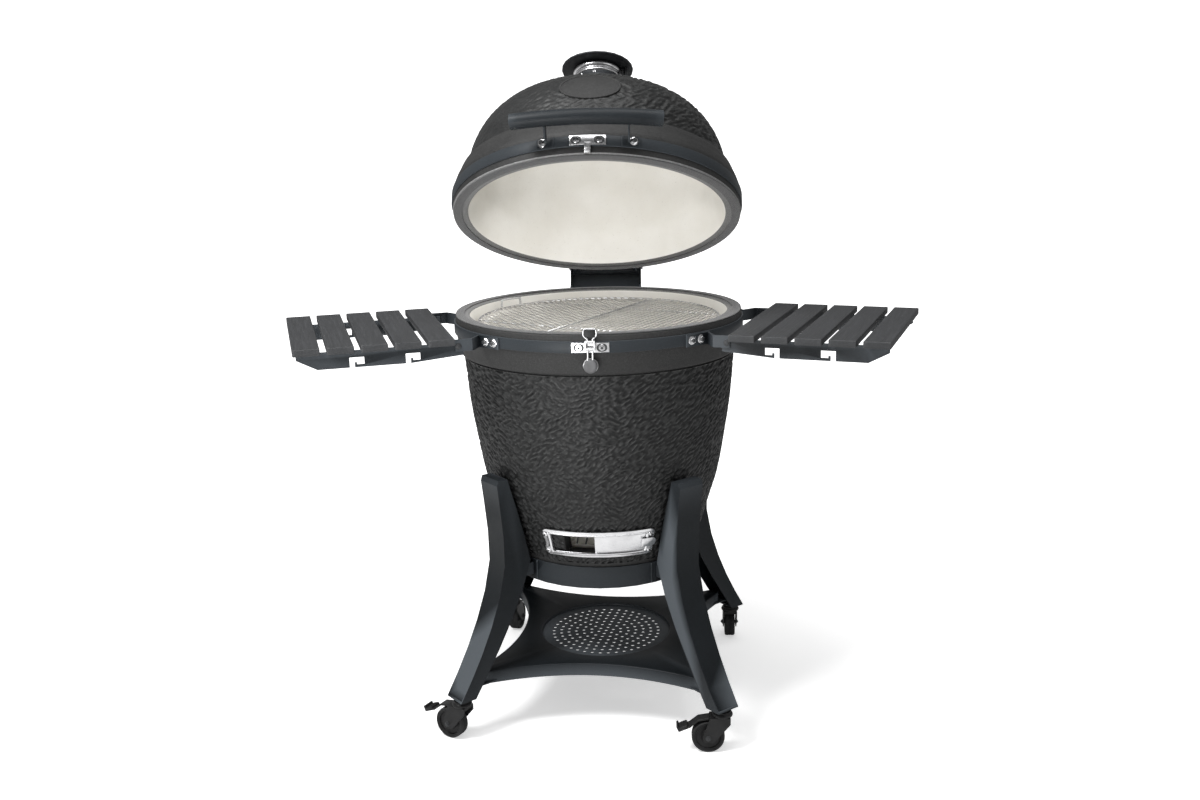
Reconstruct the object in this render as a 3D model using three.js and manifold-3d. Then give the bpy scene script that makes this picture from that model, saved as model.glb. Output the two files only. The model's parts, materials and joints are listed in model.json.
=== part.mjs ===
// Kamado ceramic grill on a wheeled stand. Millimetres, +Z up, front at -Y, origin on the floor
// below the axis of the ceramic body. The lid stands part open, both side shelves are up.
import * as THREE from 'three';
import { mergeVertices } from 'three/addons/utils/BufferGeometryUtils.js';
import Module from 'manifold-3d';

const wasm = await Module();
wasm.setup();

// ---- driving dimensions -------------------------------------------------------------------
const GAP = 0.3;                 // clearance between neighbouring pieces
const FACETS = 32;               // facets round the ceramic bodies
const SMALL_FACETS = 24;         // facets round the smaller turned pieces
const FINE_STEP = 3.75;          // degrees per facet of short curved plates
const RIM_R = 280;               // outer radius of the ceramic rim
const RIM_Z = 806;               // top of the base rim
const WALL = 28;                 // ceramic wall thickness
const BASE_Z = 300;              // underside of the ceramic base
const BAND_R = 283;              // outer radius of the steel bands
const BAND_T = 2.6;
const BAND_Z = [773.4, 794.4];   // base band, bottom and top
const FIT_R = BAND_R + 0.4;      // inner radius of plates bolted on a band
const GASKET_T = 2;

const LID_Z = 811;               // lid rim plane when closed
const LID_OPEN = 28.5;           // degrees the lid stands open at rest
const PIVOT = [0, 348, 843];     // lid hinge axis
const LID_BAND_H = [14.4, 34.5];
const DOME_R = 259.5;            // dome outside, superellipse radius and height
const DOME_H = 243.5;
const DOME_STEP_H = 84;
const NECK_H = 285;
const NECK_R = 47;
const FLUE_R = 38;

const RING_R = 190.3;            // stand ring outside radius
const RING_Z = [295, 338];
const STAND_TURN = -4.5;         // degrees the stand is turned under the body
const LEG_Z = [88, 513];
const LEG_W = 57;
const SHEET = 2.5;
const SHELF_TOP = 130;           // bottom shelf
const VENT_DISC_R = 133;

const SWIVEL_R = 355;            // caster swivel radius from the body axis
const WHEEL_R = 31.5;
const WHEEL_W = 25;
const WHEEL_FACETS = 16;
const TRAIL = 27;
const CASTER_H = 87.6;
const CASTER_YAW = { front_right: 180, front_left: 152, rear_right: 90, rear_left: 78 };

const DOOR_Z = [362, 418];       // draft door frame, bottom and top
const DOOR_SPAN = 30;            // half angle of the frame
const DRAFT_SPAN = 18;           // half angle of the opening in the ceramic
const DOOR_SLOT = 25;            // half angle of its opening
const DOOR_WIDTH = 26.6;         // degrees covered by the sliding door
const DOOR_REST = -1.6;          // left edge of the door at rest

const SHELF_AZ = 71.9;           // side shelf axis, degrees from the front
const SHELF_Z = 800;             // plank tops
const PLANK = { first: 312, width: 47, pitch: 58.75, count: 5, half: 181, thick: 12.5 };
const RAIL_LAT = 147;            // lateral position of the rails
const RAIL_H = 31;
const SHELF_PIN = { r: 303, z: 781 };

const GRID_Z = 789;
const GRID_R = 238;
const GRID_PITCH = 31;
const SEAM_AZ = 152.8;           // direction of the seam between the grid halves
const GRIP_AT = [-188, 126];     // the grid's wire grip

const LATCH_Y = -292;
const LEVER_Z = 783;
const BAIL_Z = 795;

// ---- finishes ------------------------------------------------------------------------------
const CERAMIC = [0x3a3a3a, 0.75, 0];
const GLAZE = [0xd6d2c8, 0.5, 0];
const PAINT = [0x39424a, 0.5, 0.3];
const STEEL = [0xb9bcbf, 0.3, 1];
const IRON = [0x232425, 0.7, 0.4];
const PLASTIC = [0x1b1c1d, 0.6, 0];
const PLANKS = [0x3c4043, 0.7, 0];
const FELT = [0x565656, 0.95, 0];

// ---- geometry helpers ----------------------------------------------------------------------
const rad = THREE.MathUtils.degToRad;

function toSolid(geometry) {
  const bare = geometry.clone();
  bare.deleteAttribute('normal');
  bare.deleteAttribute('uv');
  const merged = mergeVertices(bare, 1e-4);
  const p = merged.attributes.position.array;
  const source = merged.index.array;
  const triangles = [];
  let volume = 0;
  const corner = (i) => new THREE.Vector3(p[3 * i], p[3 * i + 1], p[3 * i + 2]);
  for (let i = 0; i < source.length; i += 3) {
    const [a, b, c] = [source[i], source[i + 1], source[i + 2]];
    if (a === b || b === c || c === a) continue;
    triangles.push([a, b, c]);
    volume += corner(a).dot(corner(b).cross(corner(c)));
  }
  const ordered = volume < 0 ? triangles.map(([a, b, c]) => [a, c, b]) : triangles;
  return new wasm.Manifold(new wasm.Mesh({
    numProp: 3, vertProperties: new Float32Array(p), triVerts: new Uint32Array(ordered.flat()),
  }));
}

function fromSolid(solid) {
  const mesh = solid.getMesh();
  const geometry = new THREE.BufferGeometry();
  geometry.setAttribute('position', new THREE.BufferAttribute(mesh.vertProperties, 3));
  geometry.setIndex(new THREE.BufferAttribute(mesh.triVerts, 1));
  geometry.computeVertexNormals();
  return geometry;
}

// Turn a closed [r, z] outline round Z; azimuth 0 is the front and grows towards +X.
function revolve(outline, from = 0, to = 360, steps = FACETS) {
  const full = to - from === 360;
  const rows = full ? steps : steps + 1;
  const count = outline.length;
  const positions = [];
  const index = [];
  for (let row = 0; row < rows; row++) {
    const a = rad(from + (to - from) * row / steps);
    outline.forEach(([r, z]) => positions.push(r * Math.sin(a), -r * Math.cos(a), z));
  }
  for (let row = 0; row < steps; row++) {
    const near = row * count;
    const far = ((row + 1) % rows) * count;
    for (let i = 0; i < count; i++) {
      const j = (i + 1) % count;
      index.push(near + i, far + i, far + j, near + i, far + j, near + j);
    }
  }
  if (!full) {
    const contour = outline.map(([r, z]) => new THREE.Vector2(r, z));
    const clockwise = THREE.ShapeUtils.isClockWise(contour);
    const last = (rows - 1) * count;
    for (const [a, b, c] of THREE.ShapeUtils.triangulateShape(contour, [])) {
      if (clockwise) index.push(a, b, c, last + a, last + c, last + b);
      else index.push(a, c, b, last + a, last + b, last + c);
    }
    if (!clockwise) flipSides(index, steps * count * 6);
  } else if (!THREE.ShapeUtils.isClockWise(outline.map(([r, z]) => new THREE.Vector2(r, z)))) {
    flipSides(index, index.length);
  }
  const geometry = new THREE.BufferGeometry();
  geometry.setAttribute('position', new THREE.Float32BufferAttribute(positions, 3));
  geometry.setIndex(index);
  return toSolid(geometry);
}

function flipSides(index, end) {
  for (let i = 0; i < end; i += 3) [index[i + 1], index[i + 2]] = [index[i + 2], index[i + 1]];
}

const hoop = (r0, r1, z0, z1, from, to, steps) =>
  revolve([[r0, z0], [r1, z0], [r1, z1], [r0, z1]], from, to, steps);

function block(x0, x1, y0, y1, z0, z1) {
  const box = new THREE.BoxGeometry(x1 - x0, y1 - y0, z1 - z0);
  return toSolid(box.translate((x0 + x1) / 2, (y0 + y1) / 2, (z0 + z1) / 2));
}

// Extrude a flat outline along Z, from z0 to z1.
function prism(points, z0, z1) {
  const shape = new THREE.Shape(points.map(([x, y]) => new THREE.Vector2(x, y)));
  const slab = new THREE.ExtrudeGeometry(shape, { depth: z1 - z0, bevelEnabled: false });
  return toSolid(slab.translate(0, 0, z0));
}

// Extrude a [y, z] outline along X, from x0 to x1.
const sidePlate = (points, x0, x1) => prism(points, x0, x1).rotate([90, 0, 90]);

function rod(from, to, radius, sides = 12) {
  const [a, b] = [new THREE.Vector3(...from), new THREE.Vector3(...to)];
  const bar = new THREE.CylinderGeometry(radius, radius, a.distanceTo(b), sides);
  const direction = b.clone().sub(a).normalize();
  bar.applyQuaternion(new THREE.Quaternion().setFromUnitVectors(new THREE.Vector3(0, 1, 0), direction));
  return toSolid(bar.translate(...a.add(b).multiplyScalar(0.5).toArray()));
}

function bentTube(points, radius, sides, steps) {
  const path = new THREE.CatmullRomCurve3(points.map((p) => new THREE.Vector3(...p)));
  const ring = Array.from({ length: sides }, (_, i) => new THREE.Vector2(
    radius * Math.cos(2 * Math.PI * i / sides), radius * Math.sin(2 * Math.PI * i / sides)));
  return toSolid(new THREE.ExtrudeGeometry(new THREE.Shape(ring), { steps, extrudePath: path }));
}

const join = (first, ...rest) => rest.reduce((sum, next) => sum.add(next), first);
const cut = (first, ...rest) => rest.reduce((sum, next) => sum.subtract(next), first);

const grill = new THREE.Group();
grill.name = 'kamado_grill';

function addPiece(name, solid, [color, roughness, metalness]) {
  const material = new THREE.MeshStandardMaterial({ color, roughness, metalness });
  const mesh = new THREE.Mesh(fromSolid(solid), material);
  mesh.name = name;
  grill.add(mesh);
}

// Move a lid piece, modelled with h = 0 on the lid rim, to the rest pose about the hinge.
const openLid = (solid) => solid
  .translate([0, -PIVOT[1], LID_Z - PIVOT[2]])
  .rotate([-LID_OPEN, 0, 0])
  .translate(PIVOT);

// ---- ceramic base --------------------------------------------------------------------------
const BASE_OUTSIDE = [
  [158, BASE_Z], [174, 312], [187.2, RING_Z[1]], [195, DOOR_Z[0] - 4], [214.3, DOOR_Z[1] + 4],
  [233.5, 485], [248, 566], [258.5, 638.5], [266, 728], [270.5, 731], [279, 768],
  [RIM_R, 773], [RIM_R, RIM_Z],
];
const surfaceAt = (z) => THREE.MathUtils.mapLinear(z, DOOR_Z[0] - 4, DOOR_Z[1] + 4, 195, 214.3);

function baseShell() {
  const inside = [
    [252, RIM_Z], [250, 780], [238, 728], [230.5, 638.5], [214, 530], [186.3, 422],
    [167, 358], [150, BASE_Z + 34],
  ];
  const shell = revolve([[0, BASE_Z], ...BASE_OUTSIDE, ...inside, [0, BASE_Z + 34]]);
  const draft = hoop(150, 230, DOOR_Z[0] + 9, DOOR_Z[1] - 9, -DRAFT_SPAN, DRAFT_SPAN, 6);
  return shell.subtract(draft);
}

function addBase() {
  addPiece('base_shell', baseShell(), CERAMIC);
  addPiece('base_gasket', hoop(262, 279, RIM_Z + GAP, RIM_Z + GAP + GASKET_T), FELT);
  addPiece('base_band', hoop(BAND_R - BAND_T, BAND_R, ...BAND_Z), PAINT);
}

function addFireParts() {
  const bowl = revolve([
    [145, 336], [180, 432], [208, 530], [224, 638], [200, 638], [184, 530], [166, 440], [166, 433],
    [148, 433], [120, 336],
  ], 0, 360, SMALL_FACETS);
  const airway = hoop(110, 200, DOOR_Z[0] + 9, DOOR_Z[1] - 9, -22.5, 22.5, 4);
  addPiece('firebox', bowl.subtract(airway), GLAZE);
  const spacer = revolve([[204, 638.4], [222.5, 638.4], [242, 784], [222, 784]], 0, 360, SMALL_FACETS);
  addPiece('fire_ring', spacer, GLAZE);
  addPiece('charcoal_grate', charcoalGrate(), IRON);
}

function charcoalGrate() {
  const radius = 158;
  const slot = (x, half) => block(x - 5, x + 5, -half, half, 430, 450);
  const slots = [-96, -64, -32, 0, 32, 64, 96].map(
    (x) => slot(x, Math.sqrt((radius - 14) ** 2 - x * x)));
  const plate = revolve([[0, 433.5], [radius, 433.5], [radius, 439], [0, 439]], 0, 360, SMALL_FACETS);
  const bar = block(-130, 130, -5, 5, 433.5, 439);
  return join(cut(plate, ...slots), bar);
}

// ---- cooking grid --------------------------------------------------------------------------
// One half of the grid, modelled with the seam along Y and the half on the +X side.
function gridHalf(rodAngle) {
  const wire = 2;
  const edge = 2.6;
  const rim = hoop(GRID_R - 2 * edge, GRID_R, GRID_Z - edge, GRID_Z + edge, 3, 177, 18);
  const seam = block(3, 3 + 2 * edge, -GRID_R + 3, GRID_R - 3, GRID_Z - edge, GRID_Z + edge);
  const [ux, uy] = [Math.cos(rad(rodAngle)), Math.sin(rad(rodAngle))];
  const reach = GRID_R - edge;
  const bars = [];
  for (let row = -7; row <= 7; row++) {
    const offset = row * GRID_PITCH;
    const [ox, oy] = [-uy * offset, ux * offset];
    const span = Math.sqrt(Math.max(reach * reach - offset * offset, 0));
    const toSeam = (3 + edge - ox) / Math.max(ux, 1e-9);
    const low = Math.max(-span, Math.min(toSeam, span));
    if (span - low < 20) continue;
    const from = [ox + ux * low, oy + uy * low, GRID_Z + 1];
    bars.push(rod(from, [ox + ux * span, oy + uy * span, GRID_Z + 1], wire, 4));
  }
  const brace = rod([6, -120, GRID_Z - 1], [reach * 0.86, -120, GRID_Z - 1], wire, 4);
  const brace2 = rod([6, 120, GRID_Z - 1], [reach * 0.86, 120, GRID_Z - 1], wire, 4);
  return join(rim, seam, brace, brace2, ...bars);
}

function addCookingGrid() {
  const turn = SEAM_AZ - 180;
  addPiece('grid_right', gridHalf(90).rotate([0, 0, turn]), STEEL);
  addPiece('grid_left', gridHalf(-35).rotate([0, 0, turn + 180]), STEEL);
  const grip = bentTube([
    [-24, 0, 4.4], [-24, 0, 15], [-18, 0, 19], [18, 0, 19], [24, 0, 15], [24, 0, 4.4],
  ], 2, 6, 14);
  const standing = grip.rotate([0, 0, 45]).translate([...GRIP_AT, GRID_Z]);
  addPiece('grid_handle', standing, STEEL);
}

// ---- draft door ----------------------------------------------------------------------------
// A curved plate lying on the conical part of the base, between two offsets from its surface.
function coneplate(inner, outer, z0, z1, from, to) {
  const steps = Math.max(2, Math.round((to - from) / FINE_STEP));
  return revolve([
    [surfaceAt(z0) + inner, z0], [surfaceAt(z0) + outer, z0],
    [surfaceAt(z1) + outer, z1], [surfaceAt(z1) + inner, z1],
  ], from, to, steps);
}

function addDraftDoor() {
  const [low, high] = DOOR_Z;
  const sill = low + 9.5;
  const head = high - 9.5;
  const frame = cut(
    coneplate(0.5, 8, low, high, -DOOR_SPAN, DOOR_SPAN),
    coneplate(-2, 12, sill, head, -DOOR_SLOT, DOOR_SLOT),
    coneplate(2.2, 5.4, sill - 4, head + 4, -DOOR_SLOT - 0.6, DOOR_SLOT + 0.6),
  );
  addPiece('draft_door_frame', frame, STEEL);
  const end = DOOR_REST + DOOR_WIDTH;
  const slide = coneplate(2.8, 4.8, sill - 3.4, head + 3.4, DOOR_REST, end);
  const bend = coneplate(4, 10.6, 381, 399, end - 2.4, end - 1);
  const tab = coneplate(8.6, 10.6, 381, 399, end - 2.4, end + 5.4);
  addPiece('draft_door', join(slide, bend, tab), STEEL);
}

// ---- stand ---------------------------------------------------------------------------------
const legOuter = (z) => (z > 361
  ? 259 + 12 * ((z - 361) / 139) ** 1.3
  : 259 + 113 * ((361 - z) / 273) ** 1.6);
const legInner = (z) => (z > 342
  ? 201 + 47 * ((z - 342) / 171) ** 1.1
  : 201 + 137 * ((342 - z) / 254) ** 1.3);

function leg() {
  const [low, high] = LEG_Z;
  const levels = [low, 130, 175, 225, 280, 340, 400, 460, 503];
  const outside = levels.map((z) => [legOuter(z), z]);
  const inside = levels.map((z) => [legInner(z), z]).reverse();
  const skin = [...outside, [268, high], [legInner(high), high], ...inside];
  const hollow = [
    ...levels.slice(0, -1).map((z) => [legOuter(z) - SHEET, z + (z === low ? 4 : 0)]),
    [legOuter(503) - SHEET, 508], [190, 508], [150, 340], [250, low + 4],
  ];
  const half = LEG_W / 2;
  const body = sidePlate(skin, -half, half);
  const void_ = sidePlate(hollow, -half + SHEET, half - SHEET);
  const channel = body.subtract(void_);
  // Local y is the outward direction; the leg narrows a little towards its foot.
  return channel.warp((v) => { v[0] *= 0.89 + 0.11 * Math.min(1, (v[2] - low) / 420); });
}

const CORNERS = { front_right: 45, front_left: -45, rear_right: 135, rear_left: -135 };

// Put a solid whose outward direction is +Y at an azimuth measured from the front.
const atAzimuth = (solid, azimuth) => solid.rotate([0, 0, azimuth + 180]);

function addStand() {
  for (const [corner, azimuth] of Object.entries(CORNERS)) {
    addPiece(`leg_${corner}`, atAzimuth(leg(), azimuth + STAND_TURN), PAINT);
  }
  const wall = revolve([
    [RING_R - 2, RING_Z[1]], [RING_R, RING_Z[1]], [RING_R, RING_Z[0]], [168, RING_Z[0]],
    [168, RING_Z[0] + 2.4], [RING_R - 2, RING_Z[0] + 2.4],
  ]);
  const lug = block(-20, 20, RING_R - 1, 257, 306, 330);
  const lugs = Object.values(CORNERS).map((azimuth) => atAzimuth(lug, azimuth + STAND_TURN));
  addPiece('stand_ring', join(wall, ...lugs), PAINT);
  addPiece('bottom_shelf', bottomShelf().rotate([0, 0, STAND_TURN]), PAINT);
}

function bottomShelf() {
  const [cornerX, cornerY, dip] = [226, 234, 62];
  const outline = (inset) => {
    const side = [];
    for (let i = 0; i < 6; i++) {
      const t = i / 3 - 1;
      side.push([t * (cornerX - inset), -(cornerY - dip * (1 - t * t)) + inset]);
    }
    return [0, 1, 2, 3].flatMap((quarter) => side.map(([x, y]) => {
      const [c, s] = [Math.cos(quarter * Math.PI / 2), Math.sin(quarter * Math.PI / 2)];
      return [x * c - y * s, x * s + y * c];
    }));
  };
  const tray = prism(outline(0), SHELF_TOP - 25, SHELF_TOP).subtract(
    prism(outline(2), SHELF_TOP - 30, SHELF_TOP - 2));
  const ears = Object.values(CORNERS).map((azimuth) => atAzimuth(
    block(-20, 20, 285, 338, SHELF_TOP - 22, SHELF_TOP - 19.5), azimuth));
  const hole = revolve([[0, SHELF_TOP - 9], [VENT_DISC_R, SHELF_TOP - 9],
    [VENT_DISC_R, SHELF_TOP + 5], [0, SHELF_TOP + 5]], 0, 360, SMALL_FACETS);
  const dish = revolve([[0, SHELF_TOP - 7], [VENT_DISC_R + 4, SHELF_TOP - 7],
    [VENT_DISC_R + 4, SHELF_TOP - 1], [VENT_DISC_R + 2, SHELF_TOP - 1],
    [VENT_DISC_R + 2, SHELF_TOP - 5], [0, SHELF_TOP - 5]], 0, 360, SMALL_FACETS);
  return join(tray.subtract(hole), dish, ...ears);
}

// ---- casters -------------------------------------------------------------------------------
// Modelled with the swivel axis on Z, the wheel trailing towards +X.
function fork() {
  const half = WHEEL_W / 2 + 0.8;
  const cheek = (y) => prism([
    [-15, 72], [-15, 60], [16, 23], [34, 22], [37, 33], [24, 72],
  ], y, y + 2.2).rotate([90, 0, 0]);
  return join(
    block(-15, 24, -half - 1, half + 1, 66.5, 72),
    cheek(half), cheek(-half - 2.2),
    rod([0, 0, 71], [0, 0, 83], 16, 10), rod([0, 0, 82], [0, 0, CASTER_H], 13, 10),
    rod([TRAIL, -half - 1, WHEEL_R], [TRAIL, half + 1, WHEEL_R], 4, 8),
  );
}

function wheel() {
  const halfFacet = 180 / WHEEL_FACETS;
  const flat = WHEEL_R / Math.cos(rad(halfFacet));
  const half = WHEEL_W / 2;
  const tyre = revolve([
    [4.6, -half], [10, -half], [12, -half + 3], [24, -half + 3], [25, -half],
    [flat, -half + 2], [flat, half - 2], [25, half], [24, half - 3], [12, half - 3],
    [10, half], [4.6, half],
  ], halfFacet, 360 + halfFacet, WHEEL_FACETS);
  return tyre.rotate([90, 0, 0]).translate([TRAIL, 0, WHEEL_R]);
}

function brakePedal() {
  return prism([
    [24.6, 71.5], [46, 68], [62, 55], [83, 46], [83, 42.5], [61, 51], [45.5, 64], [24.6, 67.5],
  ], -11, 11).rotate([90, 0, 0]);
}

function addCasters() {
  for (const [corner, azimuth] of Object.entries(CORNERS)) {
    const a = rad(azimuth + STAND_TURN);
    const place = (solid) => solid
      .rotate([0, 0, CASTER_YAW[corner]])
      .translate([SWIVEL_R * Math.sin(a), -SWIVEL_R * Math.cos(a), 0]);
    addPiece(`caster_fork_${corner}`, place(fork()), PLASTIC);
    addPiece(`wheel_${corner}`, place(wheel()), PLASTIC);
    if (corner.startsWith('front')) addPiece(`brake_pedal_${corner}`, place(brakePedal()), PLASTIC);
  }
}

// ---- side shelves --------------------------------------------------------------------------
// Modelled along +X from the body axis; lateral position is y, the front rail at -y.
function shelfArm() {
  const points = [];
  const inner = [];
  for (const azimuth of [36.3, 39.7, 43.1, 46.5]) {
    const a = rad(SHELF_AZ - azimuth);
    points.push([(FIT_R + 3) * Math.cos(a), -(FIT_R + 3) * Math.sin(a)]);
    inner.push([FIT_R * Math.cos(a), -FIT_R * Math.sin(a)]);
  }
  const lat = RAIL_LAT + 3 + GAP;
  const end = SHELF_PIN.r + 5;
  const far = [[281, -lat], [end, -lat], [end, -lat - 3], [277, -lat - 3]];
  const corner = points[points.length - 1];
  const outline = [...inner, [corner[0] + 1, corner[1] + 3], ...far,
    [corner[0] + 1, corner[1] - 3], ...points.slice(0, -1).reverse()];
  return prism(outline, BAND_Z[0] - 2, BAND_Z[1] - 1);
}

function shelfRail() {
  const top = SHELF_Z - PLANK.thick - GAP;
  const low = top - RAIL_H;
  const notch = (a) => [
    [a + 26, low], [a + 26, top - 13], [a, top - 13], [a, low + 5], [a + 13, low + 5],
    [a + 13, low + 9], [a + 17, low + 9], [a + 17, low],
  ];
  const outline = [
    [293, top], [588, top], [588, top - 12], [552, low], ...notch(470), ...notch(371),
    [293, low + 8],
  ];
  const plate = prism(outline, 0, 3).rotate([90, 0, 0]).translate([0, -RAIL_LAT, 0]);
  const bore = rod([SHELF_PIN.r, -RAIL_LAT - 5, SHELF_PIN.z], [SHELF_PIN.r, -RAIL_LAT + 2, SHELF_PIN.z], 4.3);
  return plate.subtract(bore);
}

function shelfPin() {
  return join(
    rod([SHELF_PIN.r, -RAIL_LAT - 5, SHELF_PIN.z], [SHELF_PIN.r, -RAIL_LAT + 3, SHELF_PIN.z], 4),
    rod([SHELF_PIN.r, -RAIL_LAT + 0.4, SHELF_PIN.z], [SHELF_PIN.r, -RAIL_LAT + 2.6, SHELF_PIN.z], 6),
  );
}

function addSideShelves() {
  for (const [side, sign] of [['right', 1], ['left', -1]]) {
    const orient = (solid) => {
      const turned = solid.rotate([0, 0, SHELF_AZ - 90]);
      return sign > 0 ? turned : turned.mirror([1, 0, 0]);
    };
    const back = (solid) => solid.mirror([0, 1, 0]);
    const arm = shelfArm().add(shelfPin());
    addPiece(`shelf_arm_${side}_front`, orient(arm), PAINT);
    addPiece(`shelf_arm_${side}_rear`, orient(back(arm)), PAINT);
    addPiece(`shelf_rail_${side}_front`, orient(shelfRail()), PAINT);
    addPiece(`shelf_rail_${side}_rear`, orient(back(shelfRail())), PAINT);
    for (let i = 0; i < PLANK.count; i++) {
      const x = PLANK.first + i * PLANK.pitch;
      const plank = block(x, x + PLANK.width, -PLANK.half, PLANK.half, SHELF_Z - PLANK.thick, SHELF_Z);
      addPiece(`plank_${side}_${i + 1}`, orient(plank), PLANKS);
    }
  }
}

// ---- hinge ---------------------------------------------------------------------------------
const pinBore = (x0, x1, z = PIVOT[2]) => rod([x0, PIVOT[1], z], [x1, PIVOT[1], z], 5.3);

function addHinge() {
  const bracket = [[274.6, 774], [274.6, 794], [318, 806], [334, 851], [345, 856], [356.6, 849],
    [356.6, 832], [346, 790], [312, 774]];
  const foot = hoop(FIT_R, FIT_R + 3, ...BAND_Z, 164, 196, 8);
  const web = block(-75, 75, 340, 343, 790, 826);
  const lower = join(foot, web, sidePlate(bracket, 74, 78), sidePlate(bracket, -78, -74));
  addPiece('hinge_lower', lower.subtract(pinBore(-90, 90)), PAINT);

  const pivotH = PIVOT[2] - LID_Z;
  const arm = [[276.6, 14.6], [276.6, 34], [336, 42], [350, 41], [357, 32], [351, 22], [326, 14.6]];
  const lidFoot = hoop(FIT_R, FIT_R + 3, LID_BAND_H[0] + 0.2, LID_BAND_H[1] - 0.2, 166, 194, 8);
  const upper = join(lidFoot, sidePlate(arm, 66, 70), sidePlate(arm, -70, -66));
  addPiece('hinge_upper', openLid(upper.subtract(pinBore(-90, 90, pivotH))), PAINT);

  const pin = join(
    rod([-79, PIVOT[1], PIVOT[2]], [79, PIVOT[1], PIVOT[2]], 5),
    rod([-82, PIVOT[1], PIVOT[2]], [-78.3, PIVOT[1], PIVOT[2]], 8),
    rod([78.3, PIVOT[1], PIVOT[2]], [82, PIVOT[1], PIVOT[2]], 8),
  );
  addPiece('hinge_pin', pin, STEEL);
}

// ---- lid -----------------------------------------------------------------------------------
const dome = (radius, height, h) => radius * Math.max(1 - (h / height) ** 3, 0) ** (1 / 3);

function lidShell() {
  const outside = [[RIM_R, 0], [RIM_R, 40], [278.5, 47], [272, 64], [266, 79],
    [dome(DOME_R, DOME_H, DOME_STEP_H), DOME_STEP_H]];
  for (const h of [115, 145, 175, 200, 220, 235]) outside.push([dome(DOME_R, DOME_H, h), h]);
  outside.push([66, 244], [50, 256], [NECK_R, 270], [NECK_R, NECK_H], [FLUE_R, NECK_H]);
  const inside = [[FLUE_R, 218]];
  for (const h of [200, 165, 120, 60]) inside.push([dome(231, 218, h), h]);
  inside.push([244, 25], [250.5, 0]);
  return revolve([...outside, ...inside]);
}

function addLid() {
  addPiece('lid_shell', openLid(lidShell()), CERAMIC);
  addPiece('lid_gasket', openLid(hoop(262, 279, -GAP - GASKET_T, -GAP)), FELT);
  addPiece('lid_band', openLid(hoop(BAND_R - BAND_T, BAND_R, ...LID_BAND_H)), PAINT);

  const plate = hoop(FIT_R, FIT_R + 2.2, 15.6, 33.6, -6.5, 6.5, 4);
  const tab = block(-5.35, 5.35, -FIT_R - 2.6, -FIT_R - 0.3, -2, 20);
  const hook = block(-5.35, 5.35, -290.5, -FIT_R - 1, -2, 1.5);
  addPiece('catch_plate', openLid(join(plate, tab, hook)), STEEL);
  addPiece('lid_handle', openLid(lidHandle()), PAINT);
}

function lidHandle() {
  const [halfLength, h] = [131.5, 46];
  const arc = [-1, -0.5, 0, 0.5, 1].map((t) => [t * halfLength, -330 + 14.6 * t * t, h]);
  const bracket = (sign) => {
    const foot = hoop(FIT_R, FIT_R + 2.8, 15, 34, ...(sign > 0 ? [12, 18.6] : [-18.6, -12]), 3);
    const strut = sidePlate([[-275.2, 16], [-275.2, 33], [-306, 58], [-330, 50], [-322, 34], [-296, 16]],
      sign * 73 - 2.5, sign * 73 + 2.5);
    return foot.add(strut);
  };
  return join(bentTube(arc, 14, 10, 8), bracket(1), bracket(-1));
}

// ---- top vent ------------------------------------------------------------------------------
function addVent() {
  const collar = revolve([
    [50, NECK_H + GAP], [50, 297], [46, 298.5], [46, 316], [33, 316], [33, 272],
    [FLUE_R - 2 * GAP, 272], [FLUE_R - 2 * GAP, NECK_H + GAP],
  ], 0, 360, SMALL_FACETS);
  addPiece('vent_collar', openLid(collar), STEEL);

  const disc = revolve([[0, 316.4], [44, 316.4], [44, 318.8], [0, 318.8]], 0, 360, SMALL_FACETS);
  const lever = join(block(40, 56, -8, 8, 316.4, 318.8), block(53.5, 56, -8, 8, 292, 318.8));
  const ports = [30, 90, 150, 210, 270, 330].map((a) =>
    rod([25 * Math.cos(rad(a)), 25 * Math.sin(rad(a)), 300],
      [25 * Math.cos(rad(a)), 25 * Math.sin(rad(a)), 330], 7, 8));
  addPiece('damper_disc', openLid(cut(disc.add(lever), ...ports)), IRON);

  const cap = revolve([[0, 319.2], [70, 319.2], [72, 320.5], [72, 323], [60, 327], [0, 329]], 0, 360, SMALL_FACETS);
  addPiece('vent_cap', openLid(cut(cap, ...ports)), IRON);
}

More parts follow.
